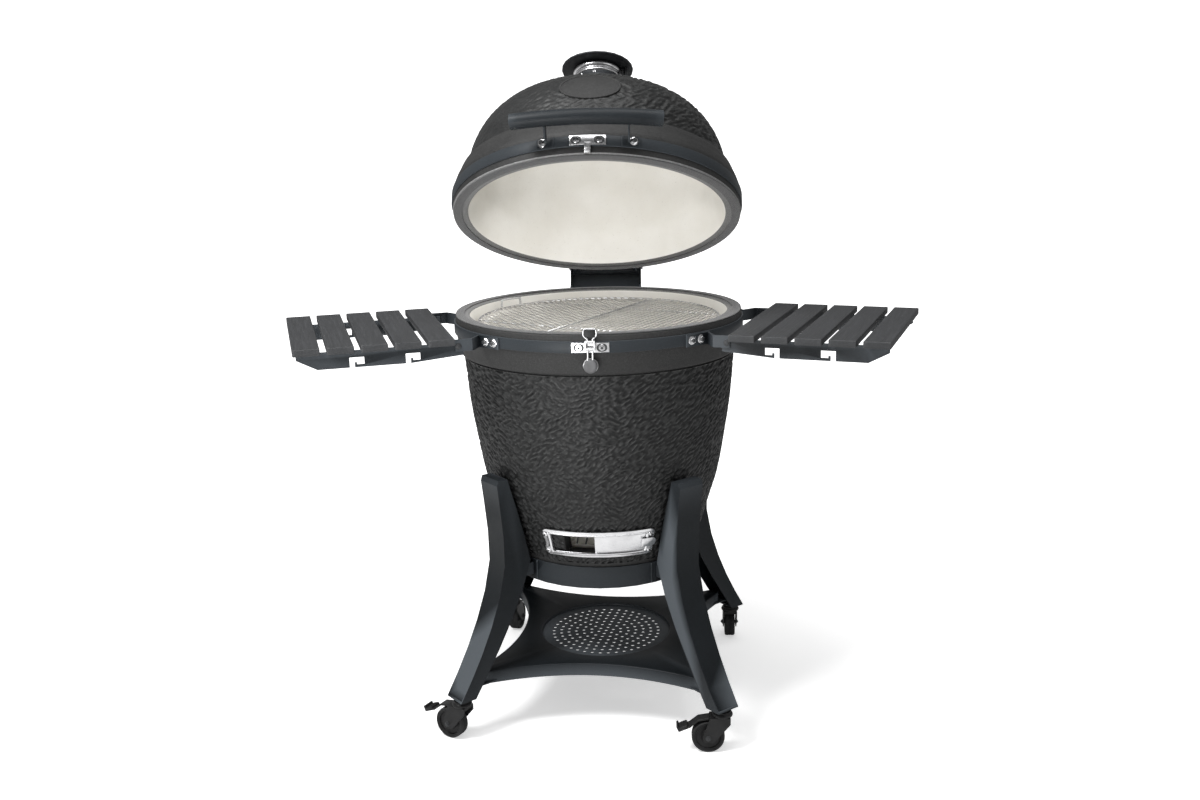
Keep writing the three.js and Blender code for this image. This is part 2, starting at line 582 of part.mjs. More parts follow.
// ---- latch ---------------------------------------------------------------------------------
function addLatch() {
  const plate = hoop(FIT_R, FIT_R + 2, 775.5, 792.5, -6.7, 6.7, 4);
  const lug = (x) => block(x - 0.8, x + 0.8, LATCH_Y - 4.5, -FIT_R - 0.8, 778, 798.5);
  const pins = [[LATCH_Y, LEVER_Z, 1.5], [LATCH_Y - 1, BAIL_Z, 1.3]].map(
    ([y, z, r]) => rod([-8.5, y, z], [8.5, y, z], r, 8));
  addPiece('latch_plate', join(plate, lug(7.6), lug(-7.6), ...pins), STEEL);

  const sleeve = (y, z, r, bore) => rod([-6.4, y, z], [6.4, y, z], r)
    .subtract(rod([-9, y, z], [9, y, z], bore));
  const knob = revolve([[0, -7], [9, -7], [12.5, -3], [12.5, 3], [9, 7], [0, 7]], 0, 360, 16)
    .rotate([90, 0, 0]).translate([0, LATCH_Y + 1, 752]);
  const rods = [4.35, -4.35].map((x) =>
    rod([x, LATCH_Y, LEVER_Z - 2.4], [x, LATCH_Y + 0.5, 758], 1.6, 8));
  addPiece('latch_lever', join(sleeve(LATCH_Y, LEVER_Z, 3.2, 1.8), knob, ...rods), STEEL);

  const y = LATCH_Y - 1;
  const loop = bentTube([
    [-4.5, y, BAIL_Z + 1.5], [-5, y, BAIL_Z + 6], [-11, y, BAIL_Z + 12], [-11, y, BAIL_Z + 20],
    [-9, y, BAIL_Z + 23.5], [0, y, BAIL_Z + 24], [9, y, BAIL_Z + 23.5], [11, y, BAIL_Z + 20],
    [11, y, BAIL_Z + 12], [5, y, BAIL_Z + 6], [4.5, y, BAIL_Z + 1.5],
  ], 1.5, 5, 22);
  const pad = block(-10.5, 10.5, y - 2, y + 2, BAIL_Z + 11.5, BAIL_Z + 22);
  addPiece('latch_bail', join(sleeve(y, BAIL_Z, 3, 1.6), loop, pad), STEEL);
}

addStand();
addCasters();
addBase();
addFireParts();
addCookingGrid();
addDraftDoor();
addHinge();
addLatch();
addSideShelves();
addLid();
addVent();

export default grill;
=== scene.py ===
import json
from math import atan2, ceil, cos, degrees, dist, hypot, pi, radians, sin, sqrt

import bmesh
import bpy
from mathutils import Matrix, Vector, noise


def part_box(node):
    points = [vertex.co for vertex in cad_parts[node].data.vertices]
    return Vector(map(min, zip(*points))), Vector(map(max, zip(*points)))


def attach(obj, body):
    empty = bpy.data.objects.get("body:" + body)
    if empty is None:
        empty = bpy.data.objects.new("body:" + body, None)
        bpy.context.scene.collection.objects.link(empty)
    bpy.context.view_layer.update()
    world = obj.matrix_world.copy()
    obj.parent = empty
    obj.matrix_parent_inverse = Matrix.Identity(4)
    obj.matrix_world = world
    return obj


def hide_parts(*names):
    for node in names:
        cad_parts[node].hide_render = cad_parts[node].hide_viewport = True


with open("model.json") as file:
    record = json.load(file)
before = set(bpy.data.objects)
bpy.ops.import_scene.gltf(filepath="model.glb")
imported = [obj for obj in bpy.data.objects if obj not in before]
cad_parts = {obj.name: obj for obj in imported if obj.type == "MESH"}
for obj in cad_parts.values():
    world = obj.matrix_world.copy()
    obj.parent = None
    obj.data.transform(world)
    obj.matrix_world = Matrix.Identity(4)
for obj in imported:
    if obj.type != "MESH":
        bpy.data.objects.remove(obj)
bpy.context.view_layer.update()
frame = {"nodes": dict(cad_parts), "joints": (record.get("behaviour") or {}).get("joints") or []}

MM = 0.001
RINGS = 160                     # facets round a large turned piece
SIDES = (("right", 1), ("left", -1))


def box_mm(node):
    low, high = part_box(node)
    return [c / MM for c in low], [c / MM for c in high]


def joint(name):
    return next(j for j in frame["joints"] if j["name"] == name)


def move(x, y, z):
    """A shift in millimetres."""
    return Matrix.Translation(Vector((x, y, z)) * MM)


# ---- where things are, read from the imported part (millimetres) ------------------------------
RIM_Z = box_mm("base_shell")[1][2]
BASE_Z = box_mm("base_shell")[0][2]
BAND_LOW, BAND_TOP = box_mm("base_band")[0][2], box_mm("base_band")[1][2]
BAND_R = box_mm("base_band")[1][0]
GASKET_LOW, GASKET_TOP = box_mm("base_gasket")[0][2], box_mm("base_gasket")[1][2]
RING_LOW, RING_TOP = box_mm("stand_ring")[0][2], box_mm("stand_ring")[1][2]
RING_R = 190.3
SHELF_TOP = box_mm("bottom_shelf")[1][2]
PIVOT = [c / MM for c in joint("lid_hinge")["pos_m"]]
LID_OPEN = joint("lid_hinge")["range_deg"][1]
LID_CLOSED_Z = RIM_Z + 5
STAND_TURN = radians(-4.5)
CORNERS = {"front_right": 45, "front_left": -45, "rear_right": 135, "rear_left": -135}
SHELF_AZ = radians(71.9)
LID_PLACE = (
    move(*PIVOT)
    @ Matrix.Rotation(radians(-LID_OPEN), 4, "X")
    @ move(0, -PIVOT[1], LID_CLOSED_Z - PIVOT[2])
)


# ---- materials ------------------------------------------------------------------------------
class Shader:
    """A small wrapper that adds nodes to one material."""

    def __init__(self, name, roughness=0.5, metallic=0.0, **inputs):
        self.material = bpy.data.materials.new(name)
        self.material.use_nodes = True
        self.tree = self.material.node_tree
        self.surface = self.tree.nodes["Principled BSDF"]
        self.set(Roughness=roughness, Metallic=metallic, **inputs)
        self.coords = self.add("ShaderNodeTexCoord")

    def add(self, kind, **values):
        node = self.tree.nodes.new(kind)
        for key, value in values.items():
            setattr(node, key, value)
        return node

    def set(self, **values):
        for key, value in values.items():
            self.surface.inputs[key.replace("_", " ")].default_value = value

    def link(self, a, b):
        self.tree.links.new(a, b)

    def place(self, scale, vector=None):
        mapping = self.add("ShaderNodeMapping")
        mapping.inputs["Scale"].default_value = scale
        self.link(vector or self.coords.outputs["Object"], mapping.inputs["Vector"])
        return mapping.outputs["Vector"]

    def noise(self, scale, detail=4.0, roughness=0.55, vector=None, distortion=0.0):
        node = self.add("ShaderNodeTexNoise")
        for key, value in (("Scale", scale), ("Detail", detail), ("Roughness", roughness),
                           ("Distortion", distortion)):
            node.inputs[key].default_value = value
        self.link(vector or self.coords.outputs["Object"], node.inputs["Vector"])
        return node.outputs["Fac"]

    def ramp(self, value, stops):
        node = self.add("ShaderNodeValToRGB")
        while len(node.color_ramp.elements) < len(stops):
            node.color_ramp.elements.new(0.5)
        for element, (position, color) in zip(node.color_ramp.elements, stops):
            element.position = position
            element.color = (*color, 1)
        self.link(value, node.inputs["Fac"])
        return node.outputs["Color"]

    def grey(self, value, low, high, start=0.3, end=0.7):
        return self.ramp(value, [(start, (low,) * 3), (end, (high,) * 3)])

    def tone(self, value, low, high, start=0.3, end=0.7):
        """low where value is up to start, high from end on."""
        return self.mix(self.grey(value, 0, 1, start, end), low, high)

    def mix(self, factor, a, b):
        node = self.add("ShaderNodeMix", data_type="RGBA", blend_type="MIX")
        for socket, value in ((node.inputs[0], factor), (node.inputs[6], a), (node.inputs[7], b)):
            if hasattr(value, "links"):
                self.link(value, socket)
            elif isinstance(value, (int, float)):
                socket.default_value = value
            else:
                socket.default_value = (*value, 1)
        return node.outputs[2]

    def color(self, value):
        self.link(value, self.surface.inputs["Base Color"])

    def rough(self, value):
        self.link(value, self.surface.inputs["Roughness"])

    def bump(self, height, distance, strength=1.0, after=None):
        node = self.add("ShaderNodeBump")
        node.inputs["Distance"].default_value = distance * MM
        node.inputs["Strength"].default_value = strength
        self.link(height, node.inputs["Height"])
        if after:
            self.link(after, node.inputs["Normal"])
        self.link(node.outputs["Normal"], self.surface.inputs["Normal"])
        return node.outputs["Normal"]


def edge_wear_and_highlight(shader, base, worn_and_lit, amount=0.35):
    """Lighter colour where an edge stands out: partly wear, as handling leaves it, and partly painted
    highlight on the edge.
    """
    geometry = shader.add("ShaderNodeNewGeometry")
    mask = shader.ramp(geometry.outputs["Pointiness"], [(0.52, (0, 0, 0)), (0.60, (amount,) * 3)])
    return shader.mix(mask, base, worn_and_lit)


def make_ceramic_textured():
    s = Shader("ceramic_textured", roughness=0.5, Specular_IOR_Level=0.28)
    depth = s.add("ShaderNodeAttribute", attribute_name="gouge").outputs["Fac"]
    cloud = s.noise(30, detail=5)
    grain = s.noise(520, detail=5, roughness=0.75)
    tone = s.tone(cloud, (0.0100, 0.0104, 0.0106), (0.0170, 0.0174, 0.0174), 0.35, 0.7)
    tone = s.mix(s.grey(grain, 0, 0.5, 0.45, 0.75), tone, (0.040, 0.041, 0.040))
    # The gouges' bottoms are made darker: painted shade in the hollows.
    tone = s.mix(s.grey(depth, 0, 0.8, 0.2, 0.9), tone, (0.0035, 0.0036, 0.0037))
    # On this ceramic the lighter colour on the gouges' raised rims is painted highlight.
    s.color(edge_wear_and_highlight(s, tone, (0.10, 0.10, 0.098), 0.7))
    s.rough(s.grey(grain, 0.38, 0.6))
    s.bump(grain, 0.25, 0.6)
    return s.material


def make_ceramic_smooth(name, low, high):
    s = Shader(name, roughness=0.6, Specular_IOR_Level=0.3)
    cloud = s.noise(30, detail=6)
    grain = s.noise(480, detail=5, roughness=0.75)
    tone = s.tone(cloud, (low,) * 3, (high, high, high * 0.985))
    tone = s.mix(s.grey(grain, 0, 0.9, 0.47, 0.68), tone, (high * 2.1,) * 3)
    s.color(edge_wear_and_highlight(s, tone, (high * 2.2,) * 3, 0.4))
    s.rough(s.grey(cloud, 0.5, 0.72))
    s.bump(grain, 0.5, 0.7)
    return s.material


def make_glaze():
    s = Shader("ceramic_interior", roughness=0.5, Specular_IOR_Level=0.4)
    cloud = s.noise(9, detail=6)
    speck = s.noise(420, detail=3)
    tone = s.tone(cloud, (0.80, 0.785, 0.745), (0.72, 0.70, 0.65), 0.35, 0.7)
    s.color(s.mix(s.grey(speck, 0, 0.5, 0.66, 0.74), tone, (0.34, 0.31, 0.27)))
    s.rough(s.grey(cloud, 0.42, 0.6))
    s.bump(s.noise(70, detail=4), 0.6, 0.35)
    return s.material


def make_paint():
    s = Shader("powder_coat", roughness=0.42, Specular_IOR_Level=0.14)
    cloud = s.noise(12, detail=5)
    peel = s.noise(750, detail=2, roughness=0.4)
    tone = s.tone(cloud, (0.0040, 0.0052, 0.0064), (0.0066, 0.0084, 0.0100))
    tone = s.mix(s.grey(s.noise(2600, detail=1), 0, 0.35, 0.58, 0.7), tone, (0.075, 0.088, 0.10))
    s.color(edge_wear_and_highlight(s, tone, (0.17, 0.19, 0.21), 0.45))
    s.rough(s.grey(cloud, 0.36, 0.52))
    s.bump(peel, 0.12, 0.5)
    return s.material


def make_steel(name, low, high, roughness):
    s = Shader(name, roughness=roughness, metallic=1.0)
    brushed = s.noise(1.0, detail=6, roughness=0.7, vector=s.place((60, 60, 1800)))
    smudge = s.noise(22, detail=5)
    s.color(s.tone(smudge, low, high, 0.35, 0.7))
    s.rough(s.tone(brushed, (roughness * 0.7,) * 3, (roughness * 1.45,) * 3))
    s.bump(brushed, 0.06, 0.5)
    return s.material


def make_iron():
    s = Shader("cast_iron", roughness=0.6, metallic=0.35)
    grit = s.noise(600, detail=6, roughness=0.7)
    cloud = s.noise(25, detail=4)
    tone = s.tone(cloud, (0.012, 0.014, 0.017), (0.026, 0.029, 0.033))
    s.color(edge_wear_and_highlight(s, tone, (0.09, 0.09, 0.09), 0.5))
    s.rough(s.grey(grit, 0.45, 0.75))
    s.bump(grit, 0.3, 0.5)
    return s.material


def make_plastic(name, tone_low, tone_high, roughness, grain):
    s = Shader(name, roughness=roughness, Specular_IOR_Level=0.2)
    cloud = s.noise(40, detail=4)
    fine = s.noise(grain, detail=3, roughness=0.6)
    tone = s.tone(cloud, (tone_low,) * 3, (tone_high, tone_high, tone_high * 1.04))
    s.color(edge_wear_and_highlight(s, tone, (tone_high * 2.6,) * 3, 0.4))
    s.rough(s.grey(fine, roughness * 0.8, roughness * 1.25))
    s.bump(fine, 0.15, 0.5)
    return s.material


def make_plank():
    s = Shader("plank_board", roughness=0.6, Specular_IOR_Level=0.3)
    info = s.add("ShaderNodeObjectInfo")
    shifted = s.add("ShaderNodeVectorMath", operation="ADD")
    s.link(s.coords.outputs["Object"], shifted.inputs[0])
    s.link(info.outputs["Random"], shifted.inputs[1])
    along = s.place((260, 11, 260), vector=shifted.outputs[0])
    streak = s.noise(1.0, detail=7, roughness=0.62, vector=along, distortion=0.5)
    closer = s.place((1500, 60, 1500), vector=shifted.outputs[0])
    fine = s.noise(1.0, detail=4, roughness=0.7, vector=closer)
    tone = s.ramp(streak, [(0.28, (0.016, 0.017, 0.018)), (0.52, (0.027, 0.028, 0.030)),
                           (0.78, (0.046, 0.048, 0.051))])
    tone = s.mix(s.grey(fine, 0, 0.4, 0.45, 0.7), tone, (0.065, 0.067, 0.07))
    s.color(edge_wear_and_highlight(s, tone, (0.11, 0.112, 0.115), 0.5))
    s.rough(s.grey(streak, 0.5, 0.72))
    first = s.bump(streak, 0.35, 0.5)
    s.bump(fine, 0.15, 0.5, first)
    return s.material


def make_felt():
    s = Shader("felt", roughness=0.95, Sheen_Weight=0.3)
    fibre = s.noise(1800, detail=5, roughness=0.8)
    s.color(s.tone(fibre, (0.035,) * 3, (0.095, 0.095, 0.097)))
    s.rough(s.grey(fibre, 0.85, 1.0))
    s.bump(fibre, 0.5, 0.8)
    return s.material


def camera_only(shader, value):
    """value for what the camera sees directly, nothing for light on the object."""
    path = shader.add("ShaderNodeLightPath")
    node = shader.add("ShaderNodeMath", operation="MULTIPLY")
    shader.link(path.outputs["Is Camera Ray"], node.inputs[0])
    shader.link(value, node.inputs[1])
    return node.outputs[0]


def make_floor():
    s = Shader("studio_floor", roughness=0.9, Specular_IOR_Level=0.0)
    s.color(s.tone(s.noise(3), (0.93, 0.93, 0.93), (0.95, 0.95, 0.95)))
    s.set(Emission_Color=(1, 1, 1, 1))
    distance = s.add("ShaderNodeVectorMath", operation="LENGTH")
    s.link(s.coords.outputs["Object"], distance.inputs[0])
    near_far = s.add("ShaderNodeMapRange")
    for key, value in (("From Min", 0.5), ("From Max", 2.2), ("To Min", 0.5), ("To Max", 1.3)):
        near_far.inputs[key].default_value = value
    s.link(distance.outputs["Value"], near_far.inputs["Value"])
    s.link(camera_only(s, near_far.outputs["Result"]), s.surface.inputs["Emission Strength"])
    return s.material


TEXTURED = make_ceramic_textured()
SMOOTH = make_ceramic_smooth("ceramic_smooth", 0.0125, 0.019)
# The rim is a much lighter copy of the smooth ceramic: painted sheen of the light from above.
RIM_SHEEN = make_ceramic_smooth("ceramic_rim_sheen", 0.12, 0.15)
GLAZE = make_glaze()
PAINT = make_paint()
STEEL = make_steel("stainless", (0.60, 0.60, 0.61), (0.74, 0.74, 0.75), 0.27)
ROD = make_steel("grid_steel", (0.72, 0.71, 0.69), (0.86, 0.85, 0.83), 0.38)
BRIGHT = make_steel("bright_bolts", (0.72, 0.72, 0.73), (0.85, 0.85, 0.86), 0.15)
IRON = make_iron()
PLASTIC = make_plastic("caster_plastic", 0.010, 0.018, 0.45, 900)
KNOB = make_plastic("latch_knob", 0.085, 0.12, 0.5, 900)
RUBBER = make_plastic("tread", 0.016, 0.026, 0.7, 1500)
PLANK = make_plank()
FELT = make_felt()


# ---- mesh helpers (lengths in millimetres) ----------------------------------------------------
def link(obj):
    bpy.context.scene.collection.objects.link(obj)
    return obj


def new_object(name, vertices, faces, materials, face_slots=None):
    mesh = bpy.data.meshes.new(name)
    mesh.from_pydata([Vector(v) * MM for v in vertices], [], faces)
    mesh.update()
    obj = link(bpy.data.objects.new(name, mesh))
    for material in materials:
        mesh.materials.append(material)
    if face_slots:
        mesh.polygons.foreach_set("material_index", face_slots)
    tidy_normals(obj)
    return obj


def tidy_normals(obj):
    bm = bmesh.new()
    bm.from_mesh(obj.data)
    bmesh.ops.remove_doubles(bm, verts=bm.verts, dist=1e-6)
    bmesh.ops.recalc_face_normals(bm, faces=bm.faces)
    bm.to_mesh(obj.data)
    bm.free()


def shade(obj, angle=33):
    obj.data.polygons.foreach_set("use_smooth", [True] * len(obj.data.polygons))
    obj.data.set_sharp_from_angle(angle=radians(angle))
    return obj


def bake(obj):
    """Apply the modifiers of obj to its mesh."""
    bpy.context.view_layer.update()
    evaluated = obj.evaluated_get(bpy.context.evaluated_depsgraph_get())
    mesh = bpy.data.meshes.new_from_object(evaluated)
    obj.modifiers.clear()
    obj.data = mesh
    return obj


def bevel(obj, width, segments=3, angle=35):
    modifier = obj.modifiers.new("bevel", "BEVEL")
    modifier.width = width * MM
    modifier.segments = segments
    modifier.limit_method = "ANGLE"
    modifier.angle_limit = radians(angle)
    modifier.use_clamp_overlap = True
    return bake(obj)


def cut_with(obj, cutter):
    modifier = obj.modifiers.new("cut", "BOOLEAN")
    modifier.operation = "DIFFERENCE"
    modifier.solver = "EXACT"
    modifier.object = cutter
    bake(obj)
    bpy.data.objects.remove(cutter)


def smooth_line(points, parts=5):
    """A Catmull-Rom line through the points, each span cut into parts."""
    result = []
    for i in range(len(points) - 1):
        p0 = points[max(i - 1, 0)]
        p1, p2 = points[i], points[i + 1]
        p3 = points[min(i + 2, len(points) - 1)]
        for k in range(parts):
            t = k / parts
            result.append(tuple(
                0.5 * (2 * b + (c - a) * t + (2 * a - 5 * b + 4 * c - d) * t * t
                       + (3 * b - a - 3 * c + d) * t ** 3)
                for a, b, c, d in zip(p0, p1, p2, p3)))
    return result + [tuple(points[-1])]


def lathe(name, runs, steps=RINGS, start=0.0, end=360.0):
    """Turn runs of (points, material) round Z. The outline closes on itself or ends on the axis."""
    outline, slots, materials = [], [], []
    for points, material in runs:
        if material not in materials:
            materials.append(material)
        if outline and (Vector(outline[-1]) - Vector(points[0])).length < 1e-6:
            points = points[1:]
        for point in points:
            outline.append(tuple(point))
            slots.append(materials.index(material))
    slots = slots[1:] + slots[:1]
    if (Vector(outline[0]) - Vector(outline[-1])).length < 1e-6:
        outline.pop()
    full = abs(end - start - 360) < 1e-6
    rows = steps if full else steps + 1
    count = len(outline)
    vertices = []
    for row in range(rows):
        a = radians(start + (end - start) * row / steps)
        vertices += [(r * sin(a), -r * cos(a), z) for r, z in outline]
    faces, face_slots = [], []
    for row in range(steps):
        near, far = row * count, ((row + 1) % rows) * count
        for i in range(count):
            j = (i + 1) % count
            if outline[i][0] < 1e-6 and outline[j][0] < 1e-6:
                continue
            faces.append((near + i, far + i, far + j, near + j))
            face_slots.append(slots[i])
    if not full:
        faces += [tuple(range(count)), tuple((rows - 1) * count + i for i in range(count))]
        face_slots += [slots[0], slots[0]]
    return new_object(name, vertices, faces, materials, face_slots)


def between(name, near, far, material):
    """The solid between two outlines with the same number of points."""
    n = len(near)
    faces = [tuple(range(n)), tuple(range(n, 2 * n))]
    faces += [(i, (i + 1) % n, n + (i + 1) % n, n + i) for i in range(n)]
    return new_object(name, near + far, faces, [material])


def slab(name, outline, z0, z1, material):
    """A flat outline raised from z0 to z1."""
    return between(name, [(x, y, z0) for x, y in outline], [(x, y, z1) for x, y in outline], material)


def block(name, size, center, material, width=0.8):
    x, y, z = size
    obj = slab(name, [(-x / 2, -y / 2), (x / 2, -y / 2), (x / 2, y / 2), (-x / 2, y / 2)],
               -z / 2, z / 2, material)
    obj.data.transform(move(*center))
    return shade(bevel(obj, width))


def rectangle(r0, r1, z0, z1):
    """A closed outline for the lathe."""
    return [(r0, z0), (r1, z0), (r1, z1), (r0, z1), (r0, z0)]


def circle(radius, sides=24):
    return [(radius * cos(2 * pi * i / sides), radius * sin(2 * pi * i / sides))
            for i in range(sides)]


def from_curve(name, curve, material):
    """The mesh of a curve, as an object."""
    holder = link(bpy.data.objects.new(name + "_line", curve))
    bpy.context.view_layer.update()
    depsgraph = bpy.context.evaluated_depsgraph_get()
    mesh = bpy.data.meshes.new_from_object(holder.evaluated_get(depsgraph))
    bpy.data.objects.remove(holder)
    mesh.materials.clear()
    mesh.materials.append(material)
    return link(bpy.data.objects.new(name, mesh))


def wire(name, points, radius, material, closed=False, sides=3, round_off=4):
    """A round wire or tube along points; corners are rounded by a smooth line."""
    curve = bpy.data.curves.new(name, "CURVE")
    curve.dimensions = "3D"
    curve.bevel_depth = radius * MM
    curve.bevel_resolution = sides
    curve.use_fill_caps = True
    spline = curve.splines.new("POLY")
    line = points if round_off < 2 else smooth_line(points, round_off)
    spline.points.add(len(line) - 1)
    for point, target in zip(spline.points, line):
        point.co = (*[c * MM for c in target], 1)
    spline.use_cyclic_u = closed
    obj = from_curve(name, curve, material)
    tidy_normals(obj)
    return shade(obj, 50)


def merge(name, objects):
    """Join several objects into one, keeping their materials."""
    base = objects[0]
    bpy.ops.object.select_all(action="DESELECT")
    for obj in objects:
        obj.select_set(True)
    bpy.context.view_layer.objects.active = base
    bpy.ops.object.join()
    base.name = name
    base.data.name = name
    return base


def place(obj, matrix):
    obj.data.transform(matrix)
    return obj


def add(obj, body, node=None):
    """Put obj on a CAD body, and hide the CAD node that it replaces if one is given."""
    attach(obj, body)
    if node:
        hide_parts(node)
    return obj


def add_to_lid(obj, node=None):
    """The same for a piece made in the lid's own frame, with the lid's rim at z = 0."""
    return add(place(obj, LID_PLACE), "lid", node)


def dress(node, body, material, width, segments=3, smooth_below=33):
    """A copy of a CAD node with its edges rounded and its material on."""
    source = frame["nodes"][node]
    mesh = source.data.copy()
    obj = link(bpy.data.objects.new(node + "_skin", mesh))
    mesh.materials.clear()
    mesh.materials.append(material)
    if "custom_normal" in mesh.attributes:
        mesh.attributes.remove(mesh.attributes["custom_normal"])
    bm = bmesh.new()
    bm.from_mesh(mesh)
    bmesh.ops.remove_doubles(bm, verts=bm.verts, dist=2e-6)
    bmesh.ops.dissolve_limit(bm, angle_limit=radians(0.6), verts=bm.verts, edges=bm.edges)
    bmesh.ops.recalc_face_normals(bm, faces=bm.faces)
    bm.to_mesh(mesh)
    bm.free()
    shade(bevel(obj, width, segments), smooth_below)
    modifier = obj.modifiers.new("flat_faces", "WEIGHTED_NORMAL")
    modifier.keep_sharp = True
    bake(obj)
    return add(obj, body, node)


def look_along(normal):
    """Rotation whose Z points along normal and whose X is level."""
    z = Vector(normal).normalized()
    x = Vector((0, 0, 1)).cross(z)
    x = x.normalized() if x.length > 1e-6 else Vector((1, 0, 0))
    return Matrix((x, z.cross(x), z)).transposed().to_4x4()


def set_on(obj, spot, body):
    """Stand obj on a spot, which is a point and the outward normal there. Spots of the lid are
    in the lid's own frame."""
    at, normal = spot
    matrix = move(*at) @ look_along(normal)
    return place(obj, LID_PLACE @ matrix if body == "lid" else matrix)


def bolt(name, spot, radius, body, height=None, finish=BRIGHT):
    """A hexagon nut on a washer, with the end of its stud."""
    high = height or radius * 0.7
    top, tip = 1.1 + high, 1.9 + high * 1.3
    disc_line = [(0, 0), (radius * 1.3, 0), (radius * 1.3, 0.7), (radius * 1.2, 1.1), (0, 1.1)]
    nut_line = [(0, 1.1), (radius, 1.1), (radius, 0.8 + high), (radius * 0.86, top), (0, top)]
    stud_line = [(0, top), (radius * 0.5, top), (radius * 0.5, 1.6 + high * 1.3), (radius * 0.4, tip),
                 (0, tip)]
    washer = lathe(name, [(disc_line, finish)], 28)
    nut = lathe("nut", [(nut_line, finish)], 6)
    stud = lathe("stud", [(stud_line, IRON)], 16)
    whole = merge(name, [shade(washer, 30), shade(nut, 20), shade(stud, 30)])
    return add(set_on(whole, spot, body), body)


def on_cylinder(radius, azimuth_deg, z):
    """The spot on an upright cylinder at an azimuth and a height."""
    a = radians(azimuth_deg)
    normal = Vector((sin(a), -cos(a), 0))
    return (radius * normal.x, radius * normal.y, z), normal


def resample(points, step):
    """The same line with extra points, at most step apart."""
    result = [tuple(points[0])]
    for a, b in zip(points, points[1:]):
        parts = max(1, ceil(dist(a, b) / step))
        result += [tuple(p + (q - p) * k / parts for p, q in zip(a, b)) for k in range(1, parts + 1)]
    return result


def loft(name, loops, material, closed=False):
    """Faces between loops of equal length. An open loft is capped with the two end loops."""
    n = len(loops[0])
    vertices = [p for loop in loops for p in loop]
    faces = []
    for k in range(len(loops) if closed else len(loops) - 1):
        near, far = k * n, ((k + 1) % len(loops)) * n
        faces += [(near + i, near + (i + 1) % n, far + (i + 1) % n, far + i) for i in range(n)]
    if not closed:
        faces += [tuple(range(n)), tuple((len(loops) - 1) * n + i for i in range(n))]
    return new_object(name, vertices, faces, [material])


def plate_along_x(name, outline, x0, x1, material, width=0.6):
    """A flat (y, z) outline between two x positions, with soft edges."""
    plate = between(name, [(x0, y, z) for y, z in outline], [(x1, y, z) for y, z in outline], material)
    return shade(bevel(plate, width))


def rounded_loop(half_u, half_v, radius, dip=0.0, per_side=(36, 8), arc=8):
    """A rounded rectangle as points; its short ends curve in by dip."""
    points = []
    corners = [(half_u - radius, half_v - radius), (half_u - radius, -half_v + radius),
               (-half_u + radius, -half_v + radius), (-half_u + radius, half_v - radius)]
    for k, (cu, cv) in enumerate(corners):
        for i in range(arc + 1):
            a = pi / 2 - pi / 2 * (k + i / arc)
            points.append((cu + radius * cos(a), cv + radius * sin(a)))
        nu, nv = corners[(k + 1) % 4]
        a = -pi / 2 * k
        start = (cu + radius * cos(a), cv + radius * sin(a))
        end = (nu + radius * cos(a), nv + radius * sin(a))
        count = per_side[1 - k % 2]
        for i in range(1, count):
            t = i / count
            inward = dip * sin(pi * t) ** 2 if k % 2 == 0 else 0
            points.append((start[0] + (end[0] - start[0]) * t - inward * cos(a),
                           start[1] + (end[1] - start[1]) * t))
    return points


# ---- ceramic body -------------------------------------------------------------------------------
GIRTH_R = 240


def gouges(obj, depth, along, across, tilt_deg, strength=None):
    """Short tool marks pressed into the textured faces, along by across in size. They slant one
    way on one side of the body and the other way on the other side, and drift between the two."""
    mesh = obj.data
    drift_size = 60
    textured = mesh.materials.find(TEXTURED.name)
    inside, border = set(), set()
    for face in mesh.polygons:
        (inside if face.material_index == textured else border).update(face.vertices)
    values = [0.0] * len(mesh.vertices)
    moves = {}
    for i in inside - border:
        x, y, z = (c / MM for c in mesh.vertices[i].co)
        azimuth = atan2(x, -y)
        u, v = azimuth * GIRTH_R, z
        drift = noise.noise(Vector((u / drift_size, v / drift_size, 3.0)))
        marks = []
        for tilt, shift in ((radians(tilt_deg), 0.0), (radians(-tilt_deg * 0.8), 40.0)):
            p = Vector(((u * cos(tilt) + v * sin(tilt)) / along + drift * 0.6,
                        (v * cos(tilt) - u * sin(tilt)) / across + drift * 0.9, shift))
            marks.append(noise.noise(p) + 0.35 * noise.noise(p * 2.1))
        share = max(0.0, min(1.0, 0.25 - 0.9 * sin(azimuth) + 1.4 * drift))
        mark = max(0.0, min(1.0, 0.5 + 1.5 * (marks[0] * (1 - share) + marks[1] * share)))
        mark = mark * mark * (3 - 2 * mark)
        amount = mark * (strength(azimuth, z) if strength else 1.0)
        values[i] = amount
        moves[i] = -mesh.vertices[i].normal * depth * MM * amount
    for i, move in moves.items():
        mesh.vertices[i].co += move
    attribute = mesh.attributes.new("gouge", "FLOAT", "POINT")
    attribute.data.foreach_set("value", values)
    return obj


BASE_TEXTURE_TOP = 727
DRAFT_SPAN, DRAFT_LOW, DRAFT_HIGH = 18, 371, 409
FELT_IN, FELT_OUT = 262, 279
HOOP_THICK = 2.6


